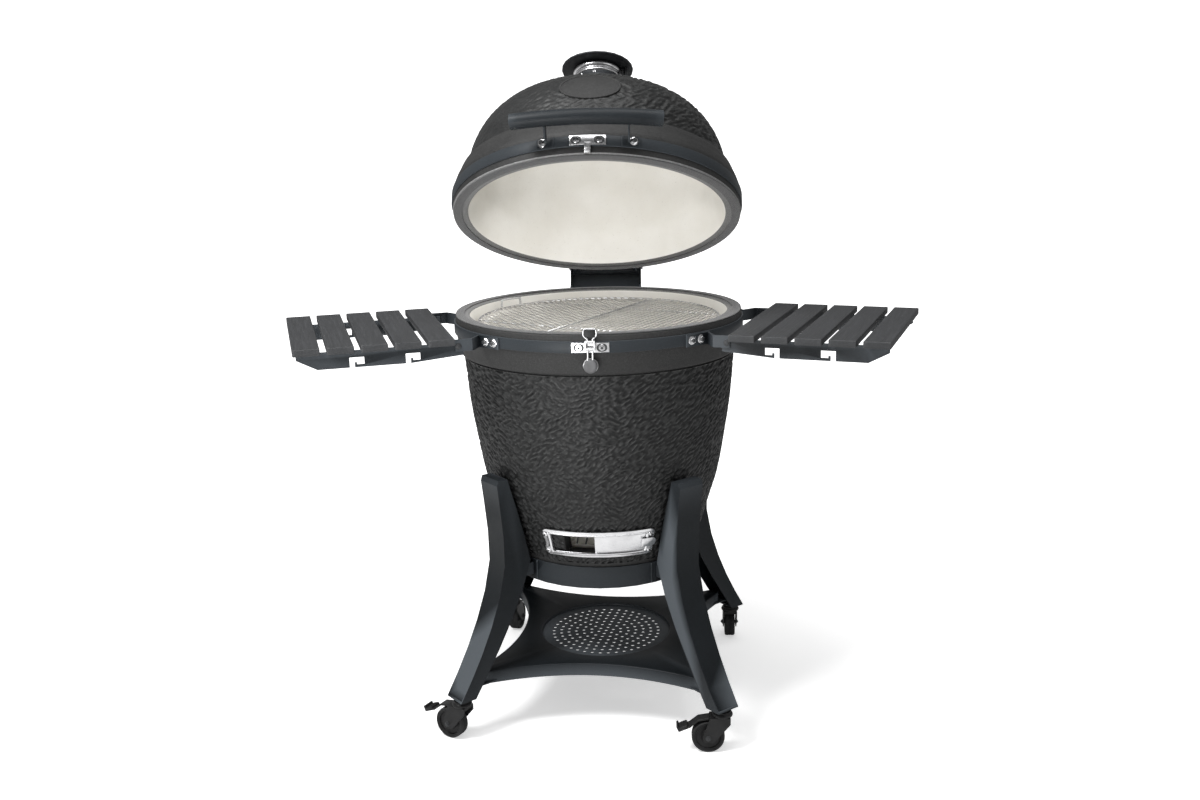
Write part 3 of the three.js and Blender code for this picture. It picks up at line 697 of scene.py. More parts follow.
def build_base():
    foot = [(0, BASE_Z), (152, BASE_Z)]
    toe = smooth_line([(152, BASE_Z), (158, BASE_Z + 2), (174, 312), (187.2, 338), (191, 346)], 4)
    side = smooth_line([(191, 346), (195, 358), (214.3, 422), (233.5, 485), (248, 566),
                        (258.5, 638.5), (266, BASE_TEXTURE_TOP)], 4)
    step = smooth_line([(266, BASE_TEXTURE_TOP), (264.2, 728.2), (263.4, 729.8), (265, 731.4),
                        (269.4, 731.8), (271.4, 734), (274.5, 748), (278.6, 766), (279.6, 773)], 4)
    lip = [(279.6, 773), (280, 778), (280, RIM_Z - 3), (279.2, RIM_Z - 0.8), (277.4, RIM_Z)]
    top = [(277.4, RIM_Z), (254.5, RIM_Z), (252.7, RIM_Z - 0.7), (252, RIM_Z - 2.6)]
    inside = smooth_line([(252, RIM_Z - 2.6), (250, 780), (238, 728), (230.5, 638.5),
                          (214, 530), (186.3, 422), (167, 358), (150, 334)], 4)
    shell = lathe("ceramic_base", [
        (foot, SMOOTH), (resample(toe, 8), SMOOTH), (resample(side, 2.1), TEXTURED),
        (step, SMOOTH), (lip, SMOOTH), (top, RIM_SHEEN), (inside, GLAZE), ([(150, 334), (0, 334)], GLAZE),
    ], steps=760)
    opening = lathe("opening", [(rectangle(150, 230, DRAFT_LOW, DRAFT_HIGH), SMOOTH)],
                    24, -DRAFT_SPAN, DRAFT_SPAN)
    cut_with(shell, opening)
    gouges(shell, depth=2.6, along=11.5, across=4.3, tilt_deg=34)
    add(shade(shell, 50), "grill", "base_shell")


def strip(name, inner, outer, low, high, material, edge=0.7):
    """A flat hoop with rounded edges."""
    outline = [(inner, low), (outer - edge, low), (outer - edge * 0.3, low + edge * 0.3),
               (outer, low + edge), (outer, high - edge), (outer - edge * 0.3, high - edge * 0.3),
               (outer - edge, high), (inner, high), (inner, low)]
    return shade(lathe(name, [(outline, material)]), 60)


def build_base_trim():
    gasket = strip("base_gasket_felt", FELT_IN, FELT_OUT, GASKET_LOW, GASKET_TOP, FELT)
    add(gasket, "grill", "base_gasket")
    band = strip("base_band_hoop", BAND_R - HOOP_THICK, BAND_R, BAND_LOW, BAND_TOP, PAINT)
    add(band, "grill", "base_band")


def build_fire_parts():
    dress("firebox", "grill", GLAZE, 1.5)
    ring = lathe("fire_ring_spacer", [
        ([(204, 638.4), (222.5, 638.4), (240.6, 776), (241.8, 782.4), (240.4, 784), (224, 784),
          (222.2, 782.6), (204, 638.4)], GLAZE)])
    add(shade(ring), "grill", "fire_ring")
    dress("charcoal_grate", "grill", IRON, 0.9)


# ---- lid ----------------------------------------------------------------------------------------
DOME_R, DOME_H = 259.5, 243.5             # outside of the dome; heights are above the lid's rim
HOLLOW_R, HOLLOW_H = 231, 218             # inside of the dome
LID_TEXTURE_LOW, LID_TEXTURE_TOP = 85, 232


def dome_r(h, radius=DOME_R, height=DOME_H):
    return radius * max(1 - (h / height) ** 3, 0) ** (1 / 3)


def build_lid():
    rim = [(252.4, 0), (277.6, 0), (279.3, 0.8), (280, 2.6)]
    wall = smooth_line([(280, 2.6), (280, 20), (280, 40), (278.5, 47), (275.5, 56), (272, 64),
                        (269, 72), (265.4, 79), (259.6, 83), (dome_r(LID_TEXTURE_LOW), LID_TEXTURE_LOW)], 4)
    heights = [LID_TEXTURE_LOW + (LID_TEXTURE_TOP - LID_TEXTURE_LOW) * i / 40 for i in range(41)]
    side = [(dome_r(h), h) for h in heights]
    neck = smooth_line([(dome_r(LID_TEXTURE_TOP), LID_TEXTURE_TOP), (66, 244), (50, 256), (47, 270),
                        (47, 285)], 6)
    flue = [(47, 285), (38, 285), (38, HOLLOW_H)]
    inner = [(dome_r(h, HOLLOW_R, HOLLOW_H), h) for h in (217, 212, 200, 185, 165, 145, 120, 90, 60)]
    inner = smooth_line([(38, HOLLOW_H)] + inner + [(241, 30), (248.6, 8), (250.4, 1.6)], 3)
    shell = lathe("ceramic_lid", [
        (rim, RIM_SHEEN), (wall, SMOOTH), (resample(side, 2.4), TEXTURED), (neck, SMOOTH),
        (flue, SMOOTH), (inner, GLAZE), ([(250.4, 1.6), (252.4, 0)], RIM_SHEEN),
    ], steps=720)

    def strength(azimuth, z):
        side_share = 0.5 + 0.5 * sin(azimuth)
        return (0.22 + 0.78 * side_share) * min(1.0, max(0.0, (z - LID_TEXTURE_LOW) / 6))

    gouges(shell, depth=2.7, along=15, across=6.0, tilt_deg=30, strength=strength)
    add_to_lid(shade(shell, 50), "lid_shell")
    add_to_lid(strip("lid_gasket_felt", FELT_IN, FELT_OUT, -2.3, -0.3, FELT), "lid_gasket")
    add_to_lid(strip("lid_band_hoop", BAND_R - HOOP_THICK, BAND_R, 14.4, 34.5, PAINT), "lid_band")


def dome_point(u, h, lift):
    """A point lift above the dome, u along the girth and h up from the rim."""
    r = dome_r(h)
    slope = (dome_r(h - 0.5) - dome_r(h + 0.5))
    length = hypot(1, slope)
    r_out, h_out = r + lift / length, h + lift * slope / length
    azimuth = u / r
    return (r_out * sin(azimuth), -r_out * cos(azimuth), h_out)


def build_medallion():
    """A plain raised oval on the dome."""
    half_u, low, high = 57, 124, 192
    middle, half_h = (low + high) / 2, (high - low) / 2
    steps = 96
    shape = [(1.0, -1.0), (1.0, 1.2), (0.985, 1.9), (0.955, 2.0), (0.93, 1.6), (0.92, 0.6),
             (0.75, 0.5), (0.5, 0.5), (0.25, 0.5), (0.05, 0.5)]
    loops = []
    for share, lift in shape:
        loops.append([dome_point(half_u * share * cos(2 * pi * i / steps),
                                 middle + half_h * share * sin(2 * pi * i / steps), lift)
                      for i in range(steps)])
    add_to_lid(shade(loft("lid_medallion", loops, SMOOTH)))


HANDLE_X, HANDLE_Y, HANDLE_H, HANDLE_BOW = 131.5, -330, 46, 14.6
HANDLE_R, STRUT_X = 14, 73
FIT_R = 283.4                   # radius at which fittings lie on the bands
SLOT_AZ = 4.1                   # the latch's and the catch's bolts, in degrees from the front


def curved_patch(name, r0, r1, z0, z1, az0, az1, material, width=0.5):
    """A plate lying on an upright cylinder between two azimuths."""
    return shade(bevel(lathe(name, [(rectangle(r0, r1, z0, z1), material)], 12, az0, az1), width))


def build_handle():
    points = []
    for i in range(17):
        t = i / 8 - 1
        points.append((t * HANDLE_X, HANDLE_Y + HANDLE_BOW * t * t, HANDLE_H))
    bar = wire("handle_bar", points, HANDLE_R, PAINT, sides=8, round_off=1)
    parts = [shade(bevel(bar, 1.5, 3, 60), 40)]
    for _, sign in SIDES:
        x = sign * STRUT_X
        parts.append(plate_along_x(
            "strut", [(-286, 16.5), (-286, 33), (-306, 58), (-328, 52), (-322, 34), (-300, 18)],
            x - 1.6, x + 1.6, PAINT))
        az = (12, 18.6) if sign > 0 else (-18.6, -12)
        parts.append(curved_patch("foot", FIT_R, FIT_R + 2.8, 15, 34, *az, PAINT))
    add_to_lid(merge("lid_handle_assembly", parts), "lid_handle")
    for side, sign in SIDES:
        bolt(f"handle_bolt_{side}", on_cylinder(FIT_R + 2.8, sign * 16.3, 24.5), 6.0, "lid")


def build_catch():
    plate = curved_patch("plate", FIT_R, FIT_R + 2.2, 15.6, 33.6, -6.5, 6.5, STEEL, 0.4)
    tab = block("tab", (10.7, 2.3, 22), (0, -FIT_R - 2.4, 9), STEEL, 0.4)
    hook = block("hook", (10.7, 6, 3), (0, -FIT_R - 4.1, -0.5), STEEL, 0.6)
    step = block("step", (11.2, 3.2, 1.4), (0, -FIT_R - 2.4, 8.4), STEEL, 0.3)
    add_to_lid(merge("lid_catch_plate", [plate, tab, hook, step]), "catch_plate")
    for side, sign in SIDES:
        spot = on_cylinder(FIT_R + 2.25, sign * SLOT_AZ, 24.8)
        slot_shade(f"catch_slot_{side}", spot, "lid")
        bolt(f"catch_bolt_{side}", spot, 4.4, "lid")


def slot_shade(name, spot, body):
    """A thin dark plate laid where a slotted hole is, seen round its bolt: painted shade of the hole's
    inside.
    """
    half_length, half_width = 9.4, 7.2
    outline = rounded_loop(half_length, half_width, half_width - 0.05, 0, (4, 1), 6)
    return add(set_on(slab(name, outline, 0, 0.25, IRON), spot, body), body)


def build_vent():
    neck = lathe("vent_neck", [(smooth_line([(50, 285.3), (50, 288), (48, 291), (46.5, 297.5)], 3), IRON),
                               ([(46.5, 297.5), (33, 298), (33, 272), (37.4, 272), (37.4, 285.3),
                                 (50, 285.3)], IRON)], 96)
    ring_line = smooth_line([(44, 298), (46.5, 299), (46.9, 302), (45.6, 304), (45.4, 306.5),
                             (47.6, 308), (49.2, 311), (48.4, 315), (45, 316)], 4)
    ring = lathe("vent_ring", [(ring_line, STEEL), ([(45, 316), (33.2, 316), (33.2, 298), (44, 298)],
                                                    STEEL)], 128)
    add_to_lid(merge("vent_collar_body", [shade(neck), shade(ring)]), "vent_collar")
    for side, azimuth in (("middle", -4), ("left", -38)):
        bolt(f"vent_screw_{side}", on_cylinder(47.6, azimuth, 291.5), 2.2, "lid")
    dress("damper_disc", "damper", IRON, 0.5)
    dress("vent_cap", "lid", IRON, 1.0)
    add_to_lid(block("vent_lug", (3, 16, 22), (60, -6, 308), IRON, 1))


# ---- hinge --------------------------------------------------------------------------------------
def build_hinge():
    dress("hinge_lower", "grill", PAINT, 0.8)
    dress("hinge_upper", "lid", PAINT, 0.8)
    dress("hinge_pin", "grill", STEEL, 0.8)
    for side, start in (("right", 9), ("left", -59)):
        turns, length, steps, coil_r = 11, 50, 16, 8.2
        coil = []
        for i in range(turns * steps + 1):
            a = 2 * pi * i / steps
            coil.append((start + length * i / (turns * steps),
                         PIVOT[1] + coil_r * cos(a), PIVOT[2] + coil_r * sin(a)))
        add(wire(f"hinge_spring_{side}", coil, 1.7, IRON, sides=2, round_off=1), "grill")
    add(block("hinge_cover", (155, 2, 76), (0, PIVOT[1] + 12.5, PIVOT[2] - 15), PAINT, 0.8), "grill")
    for k, azimuth in enumerate((168, 174, 186, 192)):
        bolt(f"hinge_bolt_lower_{k + 1}", on_cylinder(FIT_R + 3, azimuth, 781), 3.6, "grill")
        bolt(f"hinge_bolt_upper_{k + 1}", on_cylinder(FIT_R + 3, azimuth, 24), 3.6, "lid")


# ---- latch --------------------------------------------------------------------------------------
LATCH_Y, LEVER_Z, BAIL_Z, KNOB_Z = -292, 783, 795, 752


def build_latch():
    dress("latch_plate", "grill", STEEL, 0.3, 2)
    for side, sign in SIDES:
        spot = on_cylinder(FIT_R + 2.05, sign * SLOT_AZ, 784)
        slot_shade(f"latch_slot_{side}", spot, "grill")
        bolt(f"latch_bolt_{side}", spot, 4.4, "grill")
    build_latch_lever()
    build_latch_bail()


def build_latch_lever():
    y = LATCH_Y
    sleeve = wire("sleeve", [(-6.4, y, LEVER_Z), (6.4, y, LEVER_Z)], 3.2, STEEL, sides=6, round_off=1)
    arms = [wire("arm", [(x, y, LEVER_Z - 2.4), (x, y - 0.4, 771), (x, y + 0.5, 756)], 1.6, STEEL)
            for x in (4.35, -4.35)]
    lever = merge("latch_lever_arms", [sleeve] + arms)
    add(lever, "latch_lever", "latch_lever")
    knob_half = [(0, 6.8), (6, 7), (9.4, 6.6), (12, 4)]
    knob_line = knob_half + [(12.5, 0)] + [(r, -z) for r, z in knob_half[::-1]]
    knob = lathe("latch_knob", [(smooth_line(knob_line, 4), KNOB)], 48)
    place(knob, move(0, y + 1, KNOB_Z) @ Matrix.Rotation(pi / 2, 4, "X"))
    add(shade(knob), "latch_lever")
    hoop_line = [(x, y + 5.6, KNOB_Z + z) for x, z in circle(12.7, 40)]
    hoop = wire("latch_knob_hoop", hoop_line, 0.8, STEEL, closed=True, round_off=1)
    add(hoop, "latch_lever")


def build_latch_bail():
    y = LATCH_Y - 1
    half = [(4.5, y, BAIL_Z + 1.5), (5, y, BAIL_Z + 6), (11, y, BAIL_Z + 12), (11, y, BAIL_Z + 20),
            (9, y, BAIL_Z + 23.5)]
    line = [(-x, v, z) for x, v, z in half] + [(0, y, BAIL_Z + 24)] + half[::-1]
    loop = wire("loop", line, 1.5, STEEL, round_off=4)
    pivot = wire("pivot", [(-6.4, y, BAIL_Z), (6.4, y, BAIL_Z)], 3, STEEL, sides=6, round_off=1)
    bail = merge("latch_bail_wire", [loop, pivot])
    add(bail, "latch_bail", "latch_bail")
    pad = block("latch_bail_pad", (20, 3.6, 13.5), (0, y - 0.4, BAIL_Z + 15.6), PLASTIC, 1.2)
    add(pad, "latch_bail")


# ---- draft door ---------------------------------------------------------------------------------
DOOR_MID, DOOR_HALF, DOOR_R = 390, 28, 205


def cone_r(z):
    return 195 + (214.3 - 195) * (z - 358) / (422 - 358)


def on_cone(u, z, offset):
    azimuth = u / DOOR_R
    r = cone_r(z) + offset
    return (r * sin(azimuth), -r * cos(azimuth), z)


def build_draft_surround():
    outer = rounded_loop(radians(30) * DOOR_R, DOOR_HALF, 12, 3.5)
    inner = rounded_loop(radians(25) * DOOR_R, 18.5, 2.5)
    shape = [(0.0, 0.5), (0.0, 4.5), (0.06, 5.6), (0.18, 6.0), (0.5, 6.0), (0.62, 6.4), (0.7, 7.6),
             (0.82, 8.0), (0.93, 7.6), (1.0, 6.4), (1.0, 5.6), (0.8, 5.4), (0.8, 2.2), (1.0, 2.0),
             (1.0, 0.5)]
    loops = []
    for share, offset in shape:
        loops.append([on_cone(a[0] + (b[0] - a[0]) * share, DOOR_MID + a[1] + (b[1] - a[1]) * share,
                              offset) for a, b in zip(outer, inner)])
    surround = loft("draft_frame", loops, STEEL, closed=True)
    add(shade(surround, 40), "grill", "draft_door_frame")
    for side, sign in SIDES:
        for level, z in (("upper", DOOR_MID + 17.5), ("lower", DOOR_MID - 17.5)):
            at, normal = on_cylinder(cone_r(z) + 6, sign * 27.6, z)
            bolt(f"draft_bolt_{side}_{level}", (at, normal + Vector((0, 0, -0.3))), 4.0, "grill")


def build_draft_plate():
    first, last = -1.6, 25.0
    back, front = 2.8, 4.8
    z0, z1 = DOOR_MID - 21.9, DOOR_MID + 21.9
    line = [(cone_r(z0) + back, z0), (cone_r(z0) + front, z0), (cone_r(z1) + front, z1),
            (cone_r(z1) + back, z1), (cone_r(z0) + back, z0)]
    sheet = bevel(lathe("sheet", [(line, STEEL)], 28, first, last), 0.3, 2)
    bend = [radians(a) * DOOR_R for a in (22.6, 24.0)]
    end = radians(30.4) * DOOR_R
    half = 9
    outline = [(bend[0], -half), (bend[1], -half), (end - half, -half)]
    outline += [(end - half + half * sin(a), -half * cos(a)) for a in
                (pi * i / 12 for i in range(1, 12))]
    outline += [(end - half, half), (bend[1], half), (bend[0], half)]

    def raised(line, offset):
        return [on_cone(u, DOOR_MID + v, offset) for u, v in line]

    tab = bevel(between("tab", raised(outline, 8.6), raised(outline, 10.4), STEEL), 0.4, 2)
    root = [(bend[0], -half), (bend[1] - 2, -half), (bend[1] - 2, half), (bend[0], half)]
    stem = between("stem", raised(root, 4), raised(root, 10), STEEL)
    door = merge("draft_door_plate", [shade(sheet), shade(tab), shade(stem)])
    add(door, "draft_door", "draft_door")


def build_ash_bars():
    """The bars that hold the coals back, seen through the draft opening."""
    across = [on_cylinder(171.5, a, 400)[0] for a in (-17, -12, -7, -2, 3, 8, 13, 17)]
    bars = [wire("bar", across, 1.6, IRON)]
    for a in (-14, -8, -2, 4, 10):
        top, bottom = on_cylinder(172.5, a + 1.4, 403)[0], on_cylinder(167.5, a - 0.8, 377)[0]
        bars.append(wire("bar", [top, bottom], 1.6, IRON, round_off=1))
    add(merge("ash_bars", bars), "grill")


# ---- cooking grid -------------------------------------------------------------------------------
GRID_Z, GRID_R, SEAM_TURN = 789, 238, -27.2
GRID_EDGE, GRID_PITCH = 2.6, 12.2
SEAM_X = 3 + GRID_EDGE          # straight edge of a grid half, from the seam


def grid_rods(rod_angle):
    """Both ends of each parallel rod of a half disc that lies at x > SEAM_X."""
    a = radians(rod_angle)
    along, across = (cos(a), sin(a)), (-sin(a), cos(a))
    reach = GRID_R - GRID_EDGE
    rods = []
    for row in range(-int(GRID_R / GRID_PITCH) - 1, int(GRID_R / GRID_PITCH) + 2):
        offset = (row + 0.5) * GRID_PITCH
        if abs(offset) > reach - 3:
            continue
        span = sqrt(reach ** 2 - offset ** 2)
        ox, oy = across[0] * offset, across[1] * offset
        low = -span
        if along[0] > 1e-3:
            low = max(low, (SEAM_X - ox) / along[0])
        elif ox < SEAM_X:
            continue
        if span - low > 12:
            rods.append(((ox + along[0] * low, oy + along[1] * low),
                         (ox + along[0] * span, oy + along[1] * span)))
    return rods


def build_grid_half(name, body, node, rod_angle, turn):
    reach = GRID_R - GRID_EDGE
    turns = [radians(-89 + 178 * i / 60) for i in range(61)]
    rim = [(reach * cos(a), reach * sin(a), GRID_Z) for a in turns]
    rim = [p for p in rim if p[0] > SEAM_X]
    parts = [wire("rim", [(SEAM_X, rim[0][1], GRID_Z)] + rim + [(SEAM_X, rim[-1][1], GRID_Z)],
                  GRID_EDGE, STEEL, closed=True, round_off=1)]
    for (x0, y0), (x1, y1) in grid_rods(rod_angle):
        parts.append(wire("rod", [(x0, y0, GRID_Z + 1), (x1, y1, GRID_Z + 1)], 1.6, ROD,
                          sides=1, round_off=1))
    for y in (-120, 120):
        end = sqrt(reach ** 2 - y * y)
        parts.append(wire("brace", [(5, y, GRID_Z - 1.4), (end, y, GRID_Z - 1.4)], 2, STEEL, round_off=1))
    half = place(merge(name, parts), Matrix.Rotation(radians(turn), 4, "Z"))
    add(half, body, node)


def build_grid():
    build_grid_half("cooking_grid_right", "grill", "grid_right", 90, SEAM_TURN)
    build_grid_half("cooking_grid_left", "grid_flap", "grid_left", -35, SEAM_TURN + 180)
    low, high = box_mm("grid_handle")
    cx, cy, z = (low[0] + high[0]) / 2, (low[1] + high[1]) / 2, low[2]
    line = [(-24, 0), (-24, 9), (-20, 14.6), (20, 14.6), (24, 9), (24, 0)]
    d = sqrt(0.5)
    points = [(cx + u * d, cy + u * d, z + v + 0.2) for u, v in line]
    grip = wire("grid_grip_wire", points, 2.2, STEEL, round_off=5)
    add(grip, "grid_grip", "grid_handle")


# ---- stand --------------------------------------------------------------------------------------
def shelf_edge(inset, per_side=28):
    """The bottom shelf's outline: four sides that curve in between the corners."""
    corner_x, corner_y, dip = 226, 234, 62
    side = []
    for i in range(per_side):
        t = 2 * i / per_side - 1
        side.append((t * (corner_x - inset), -(corner_y - dip * (1 - t * t)) + inset))
    points = []
    for quarter in range(4):
        c, s = round(cos(quarter * pi / 2)), round(sin(quarter * pi / 2))
        points += [(x * c - y * s, x * s + y * c) for x, y in side]
    return points


VENT_R, HOLE_R, HOLE_PITCH, HOLE_RINGS = 133, 3.9, 15.6, 7


def perforated_disc(name, radius, z, thickness):
    """A flat disc with rings of round holes."""
    curve = bpy.data.curves.new(name, "CURVE")
    curve.dimensions = "2D"
    curve.fill_mode = "BOTH"
    curve.extrude = thickness / 2 * MM
    holes = [(0, 0)]
    for ring in range(1, HOLE_RINGS + 1):
        count = 6 * ring
        holes += [(ring * HOLE_PITCH * cos(2 * pi * (k + ring * 0.37) / count),
                   ring * HOLE_PITCH * sin(2 * pi * (k + ring * 0.37) / count))
                  for k in range(count)]
    for outline, cx, cy in [(circle(radius, 120), 0, 0)] + [(circle(HOLE_R, 14), x, y) for x, y in holes]:
        spline = curve.splines.new("POLY")
        spline.points.add(len(outline) - 1)
        for point, (x, y) in zip(spline.points, outline):
            point.co = ((x + cx) * MM, (y + cy) * MM, 0, 1)
        spline.use_cyclic_u = True
    obj = from_curve(name, curve, PAINT)
    place(obj, Matrix.Translation((0, 0, z * MM)))
    tidy_normals(obj)
    return shade(obj, 30)


def build_shelf_tray():
    edge = [(0, -25), (0, -3), (0.5, -1.4), (1.6, -0.4), (3.4, 0)]
    outline = shelf_edge(0)
    loops = [[(x, y, SHELF_TOP + dz) for x, y in shelf_edge(inset)] for inset, dz in edge]
    angles = [atan2(y, x) for x, y in outline]
    for r, dz in ((VENT_R + 3.5, 0), (VENT_R + 1, -0.6), (VENT_R, -2), (VENT_R - 0.2, -6.8),
                  (VENT_R + 1.8, -6.8), (VENT_R + 2, -2.2)):
        loops.append([(r * cos(a), r * sin(a), SHELF_TOP + dz) for a in angles])
    for inset, dz in ((3.6, -2), (2, -3.6), (2, -25)):
        loops.append([(x, y, SHELF_TOP + dz) for x, y in shelf_edge(inset)])
    tray = shade(loft("tray", loops, PAINT, closed=True), 40)
    disc = perforated_disc("disc", VENT_R - 0.1, SHELF_TOP - 6, 2)
    parts = [tray, disc]
    for azimuth in CORNERS.values():
        ear = block("ear", (40, 46, 2.5), (0, 308, SHELF_TOP - 20.8), PAINT, 0.5)
        place(ear, Matrix.Rotation(radians(azimuth + 180), 4, "Z"))
        parts.append(ear)
    shelf = place(merge("bottom_shelf_tray", parts), Matrix.Rotation(STAND_TURN, 4, "Z"))
    add(shelf, "grill", "bottom_shelf")


def build_stand():
    dress("stand_ring", "grill", PAINT, 0.9)
    for corner, azimuth in CORNERS.items():
        dress(f"leg_{corner}", "grill", PAINT, 1.15, 4, 14)
        turn = radians(azimuth) + STAND_TURN
        for k, shift in enumerate((-30, 30)):
            a = turn + shift / RING_R
            bead = wire(f"weld_{corner}_{k + 1}", [
                (RING_R * sin(a), -RING_R * cos(a), z) for z in
                (RING_LOW + 3, RING_LOW + 14, RING_LOW + 28, RING_TOP - 2)], 1.3, PAINT)
            add(bead, "grill")
    build_shelf_tray()


# ---- casters ------------------------------------------------------------------------------------
WHEEL_HALF = 12.5


def build_wheel(corner):
    node = f"wheel_{corner}"
    spin = joint(f"wheel_spin_{corner}")
    low, high = box_mm(node)
    center = [(a + b) / 2 for a, b in zip(low, high)]
    turn = move(*center) @ look_along(spin["axis"])
    tread_half = [(31.4, 0.6), (30.8, 1.2), (30.8, 2.4), (31.4, 3), (31.4, 6.5), (30.9, 9.6), (29.5, 11),
                  (27, 10.4)]
    hub_half = [(27, 10.4), (25.6, 9.2), (24, 9), (22.8, 6.4), (14, 5.4), (11.5, 8), (10, 11.8), (4.6, 12)]
    tread = [(r, -z) for r, z in tread_half[::-1]] + tread_half
    hub = hub_half + [(r, -z) for r, z in hub_half[::-1]]
    wheel = lathe(f"caster_wheel_{corner}", [(tread, RUBBER), (hub, PLASTIC)], 72)
    place(shade(wheel, 28), turn)
    add(wheel, node, node)
    for k, side in enumerate((1, -1)):
        outward = Vector(spin["axis"]) * side
        spot = (Vector(center) + outward * (WHEEL_HALF + 3), outward)
        bolt(f"axle_bolt_{corner}_{k + 1}", spot, 4.2, f"caster_{corner}", 2, IRON)


def build_pedal_pad(corner):
    """The ribbed end of a brake pedal, in the caster's own frame: X runs back along the wheel."""
    swivel = [c / MM for c in joint(f"caster_swivel_{corner}")["pos_m"]]
    low, high = box_mm(f"wheel_{corner}")
    trail = [(low[i] + high[i]) / 2 - swivel[i] for i in (0, 1)]
    yaw = atan2(trail[1], trail[0])
    pad_x, pad_z, slope = 74, 50.2, radians(23.2)
    parts = [block("pad", (18, 25, 7.5), (0, 0, 0), PLASTIC, 1.6),
             block("toe", (4, 25, 12), (9, 0, 2.6), PLASTIC, 1.3)]
    parts += [block("rib", (1.8, 21, 1.6), (x, 0, 4.2), PLASTIC, 0.5) for x in (-6, -2, 2)]
    pad = merge(f"brake_pad_{corner}", parts)
    place(pad, move(swivel[0], swivel[1], 0) @ Matrix.Rotation(yaw, 4, "Z")
          @ move(pad_x, 0, pad_z) @ Matrix.Rotation(slope, 4, "Y"))
    add(pad, f"brake_{corner}")


def build_casters():
    for corner in CORNERS:
        dress(f"caster_fork_{corner}", f"caster_{corner}", PLASTIC, 0.9)
        build_wheel(corner)
        swivel = joint(f"caster_swivel_{corner}")["pos_m"]
        x, y = swivel[0] / MM, swivel[1] / MM
        race_line = smooth_line([(15, 72.4), (18.6, 73.2), (19.6, 76), (18.4, 79), (16.6, 80.2),
                                 (16.2, 82)], 3)
        race = lathe(f"swivel_race_{corner}", [
            (race_line, PLASTIC), ([(16.2, 82), (14, 82), (14, 72.4), (15, 72.4)], PLASTIC)], 48)
        place(race, Matrix.Translation((x * MM, y * MM, 0)))
        add(shade(race), f"caster_{corner}")
    for corner in ("front_right", "front_left"):
        dress(f"brake_pedal_{corner}", f"brake_{corner}", PLASTIC, 1.1)
        build_pedal_pad(corner)


# ---- side shelves -------------------------------------------------------------------------------
SHELF_Z = 800
PLANKS, PLANK_FIRST, PLANK_PITCH = 5, 312, 58.75
PLANK_WIDTH, PLANK_HALF, PLANK_THICK = 47, 181, 12.5
FOLD_X, FOLD_Y, FOLD_Z = 303, 153.6, 781  # outer end of the pin on which a rail folds
TAB_Y = 141.4                   # tabs under the planks, across the shelf
ARM_BOLTS = (33.3, 29.0)        # bolts of an arm, in degrees from the shelf's axis
ARM_BOLT_Z = 783


def shelf_frame(sign):
    """Shelf coordinates: X runs outward along the shelf's axis, Y across it."""
    a = SHELF_AZ * sign
    outward = Vector((sin(a), -cos(a), 0))
    across = Vector((0, 0, 1)).cross(outward)
    matrix = Matrix((outward, across, Vector((0, 0, 1)))).transposed()
    return matrix.to_4x4()


def plank_x(index):
    return PLANK_FIRST + index * PLANK_PITCH + PLANK_WIDTH / 2


def build_plank(name, node, body, index, frame_matrix):
    x = plank_x(index)
    half_w, half_l, t = PLANK_WIDTH / 2, PLANK_HALF, PLANK_THICK
    rows, cols = 44, 8
    bm = bmesh.new()
    bmesh.ops.create_grid(bm, x_segments=cols, y_segments=rows, size=0.5)
    for v in bm.verts:
        v.co = Vector((v.co.x * 2 * half_w, v.co.y * 2 * half_l, t / 2)) * MM
    extruded = bmesh.ops.extrude_face_region(bm, geom=bm.faces[:])
    for item in extruded["geom"]:
        if isinstance(item, bmesh.types.BMVert):
            item.co.z = -t / 2 * MM
    for v in bm.verts:
        p = v.co / MM
        v.co.z += 0.14 * noise.noise(Vector((p.x / 9, p.y / 60, index * 7.3))) * MM * (1 if p.z > 0 else 0)
    bmesh.ops.recalc_face_normals(bm, faces=bm.faces)
    mesh = bpy.data.meshes.new(name)
    bm.to_mesh(mesh)
    bm.free()
    mesh.materials.append(PLANK)
    plank = link(bpy.data.objects.new(name, mesh))
    bevel(plank, 1.6, 3, 50)
    shade(plank, 40)
    plank.matrix_world = frame_matrix @ move(x, 0, SHELF_Z - t / 2)
    return add(plank, body, node)


def build_side_shelves():
    for side, sign in SIDES:
        body = f"shelf_{side}"
        matrix = shelf_frame(sign)
        for index in range(PLANKS):
            node = f"plank_{side}_{index + 1}"
            build_plank(f"{node}_board", node, body, index, matrix)
        for end, across in (("front", -sign), ("rear", sign)):
            dress(f"shelf_rail_{side}_{end}", body, PAINT, 0.45, 2)
            dress(f"shelf_arm_{side}_{end}", "grill", PAINT, 0.45, 2)
            for k, away in enumerate(ARM_BOLTS):
                azimuth = sign * (degrees(SHELF_AZ) + (away if end == "rear" else -away))
                spot = on_cylinder(FIT_R + 3, azimuth, ARM_BOLT_Z)
                bolt(f"arm_bolt_{side}_{end}_{k + 1}", spot, 6.0, "grill")
            at = matrix @ (Vector((FOLD_X, across * FOLD_Y, FOLD_Z)) * MM) / MM
            normal = matrix.to_3x3() @ Vector((0, across, 0))
            bolt(f"fold_bolt_{side}_{end}", (at, normal), 4.6, "grill", 2.4, IRON)
            build_plank_screws(f"{side}_{end}", body, across * TAB_Y, matrix)


def build_plank_screws(where, body, lateral, frame_matrix):
    """A tab of the rail under each plank, and its screw."""
    underside = SHELF_Z - PLANK_THICK
    for index in range(PLANKS):
        x = plank_x(index)
        lug = block("tab", (22, 12, 1.6), (x, lateral, underside - 1.1), PAINT, 0.4)
        place(lug, frame_matrix)
        lug.name = f"rail_tab_{where}_{index + 1}"
        add(lug, body)
        at = frame_matrix @ (Vector((x, lateral, underside - 1.9)) * MM) / MM
        bolt(f"plank_screw_{where}_{index + 1}", (at, (0, 0, -1)), 2.6, body, 1.4, IRON)


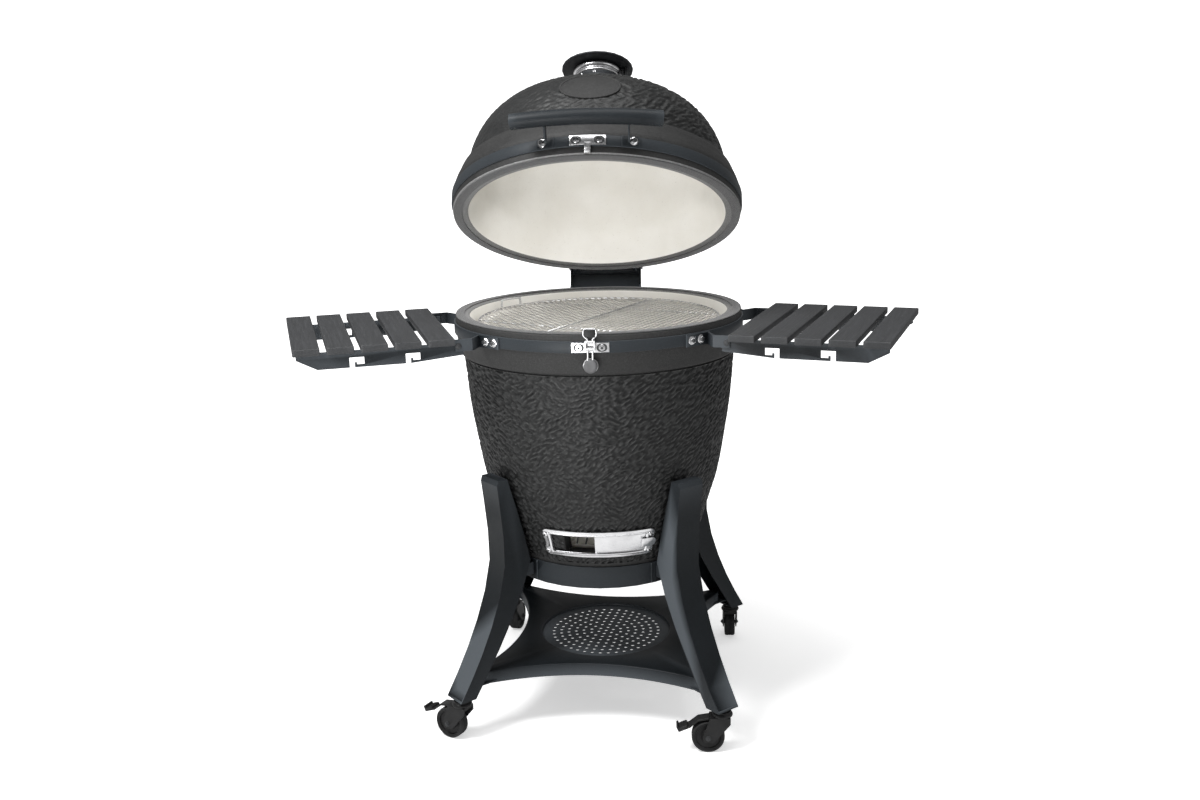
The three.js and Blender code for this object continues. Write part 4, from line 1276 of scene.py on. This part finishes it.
# ---- stage, light and camera --------------------------------------------------------------------
def build_stage():
    size = 9.0
    mesh = bpy.data.meshes.new("studio_floor")
    mesh.from_pydata([(-size, -size, 0), (size, -size, 0), (size, size, 0), (-size, size, 0)], [],
                     [(0, 1, 2, 3)])
    mesh.materials.append(make_floor())
    link(bpy.data.objects.new("studio_floor", mesh))
    world = bpy.data.worlds.new("studio")
    world.use_nodes = True
    tree = world.node_tree
    background = tree.nodes["Background"]
    path = tree.nodes.new("ShaderNodeLightPath")
    strength = tree.nodes.new("ShaderNodeMapRange")
    strength.inputs["To Min"].default_value = 0.30
    strength.inputs["To Max"].default_value = 1.6
    tree.links.new(path.outputs["Is Camera Ray"], strength.inputs["Value"])
    tree.links.new(strength.outputs["Result"], background.inputs["Strength"])
    background.inputs["Color"].default_value = (1, 1, 1, 1)
    bpy.context.scene.world = world


def area_light(name, location, target, size, power, spread_deg=180):
    data = bpy.data.lights.new(name, "AREA")
    data.spread = radians(spread_deg)
    data.size = size
    data.energy = power
    light = link(bpy.data.objects.new(name, data))
    light.location = location
    light.rotation_mode = "QUATERNION"
    light.rotation_quaternion = (Vector(target) - Vector(location)).to_track_quat("-Z", "Y")
    light.visible_camera = False


def build_lights():
    middle = (0, 0, 0.75)
    area_light("key", (-1.5, -1.3, 3.2), middle, 1.0, 105)
    area_light("fill", (2.4, -1.8, 1.6), middle, 1.6, 8)
    area_light("top", (0.2, -0.5, 3.3), middle, 1.6, 40)
    area_light("inside", (-0.5, -1.4, 0.6), (0.03, 0.15, 1.07), 0.6, 2.3, 70)
    area_light("bowl", (0, -0.04, 0.97), (0, 0, 0.79), 0.28, 0.7)


def build_camera():
    """The view: a little right of the front, looking down by 13.6 degrees."""
    yaw, pitch, roll = 0.0561, 0.237, -0.0245
    eye = (-0.0011, -2.4328, 1.2085)
    data = bpy.data.cameras.new("view")
    data.lens = 37.5
    data.sensor_width = 36
    camera = link(bpy.data.objects.new("view", data))
    turn = Matrix.Rotation(yaw, 4, "Z")
    camera.matrix_world = (Matrix.Translation(turn @ Vector(eye)) @ turn
                           @ Matrix.Rotation(pi / 2 - pitch, 4, "X") @ Matrix.Rotation(roll, 4, "Z"))
    bpy.context.scene.camera = camera
    bpy.context.scene.view_settings.view_transform = "Standard"


build_base()
build_base_trim()
build_fire_parts()
build_lid()
build_medallion()
build_handle()
build_catch()
build_vent()
build_hinge()
build_latch()
build_draft_surround()
build_draft_plate()
build_ash_bars()
build_grid()
build_stand()
build_casters()
build_side_shelves()
build_stage()
build_lights()
build_camera()
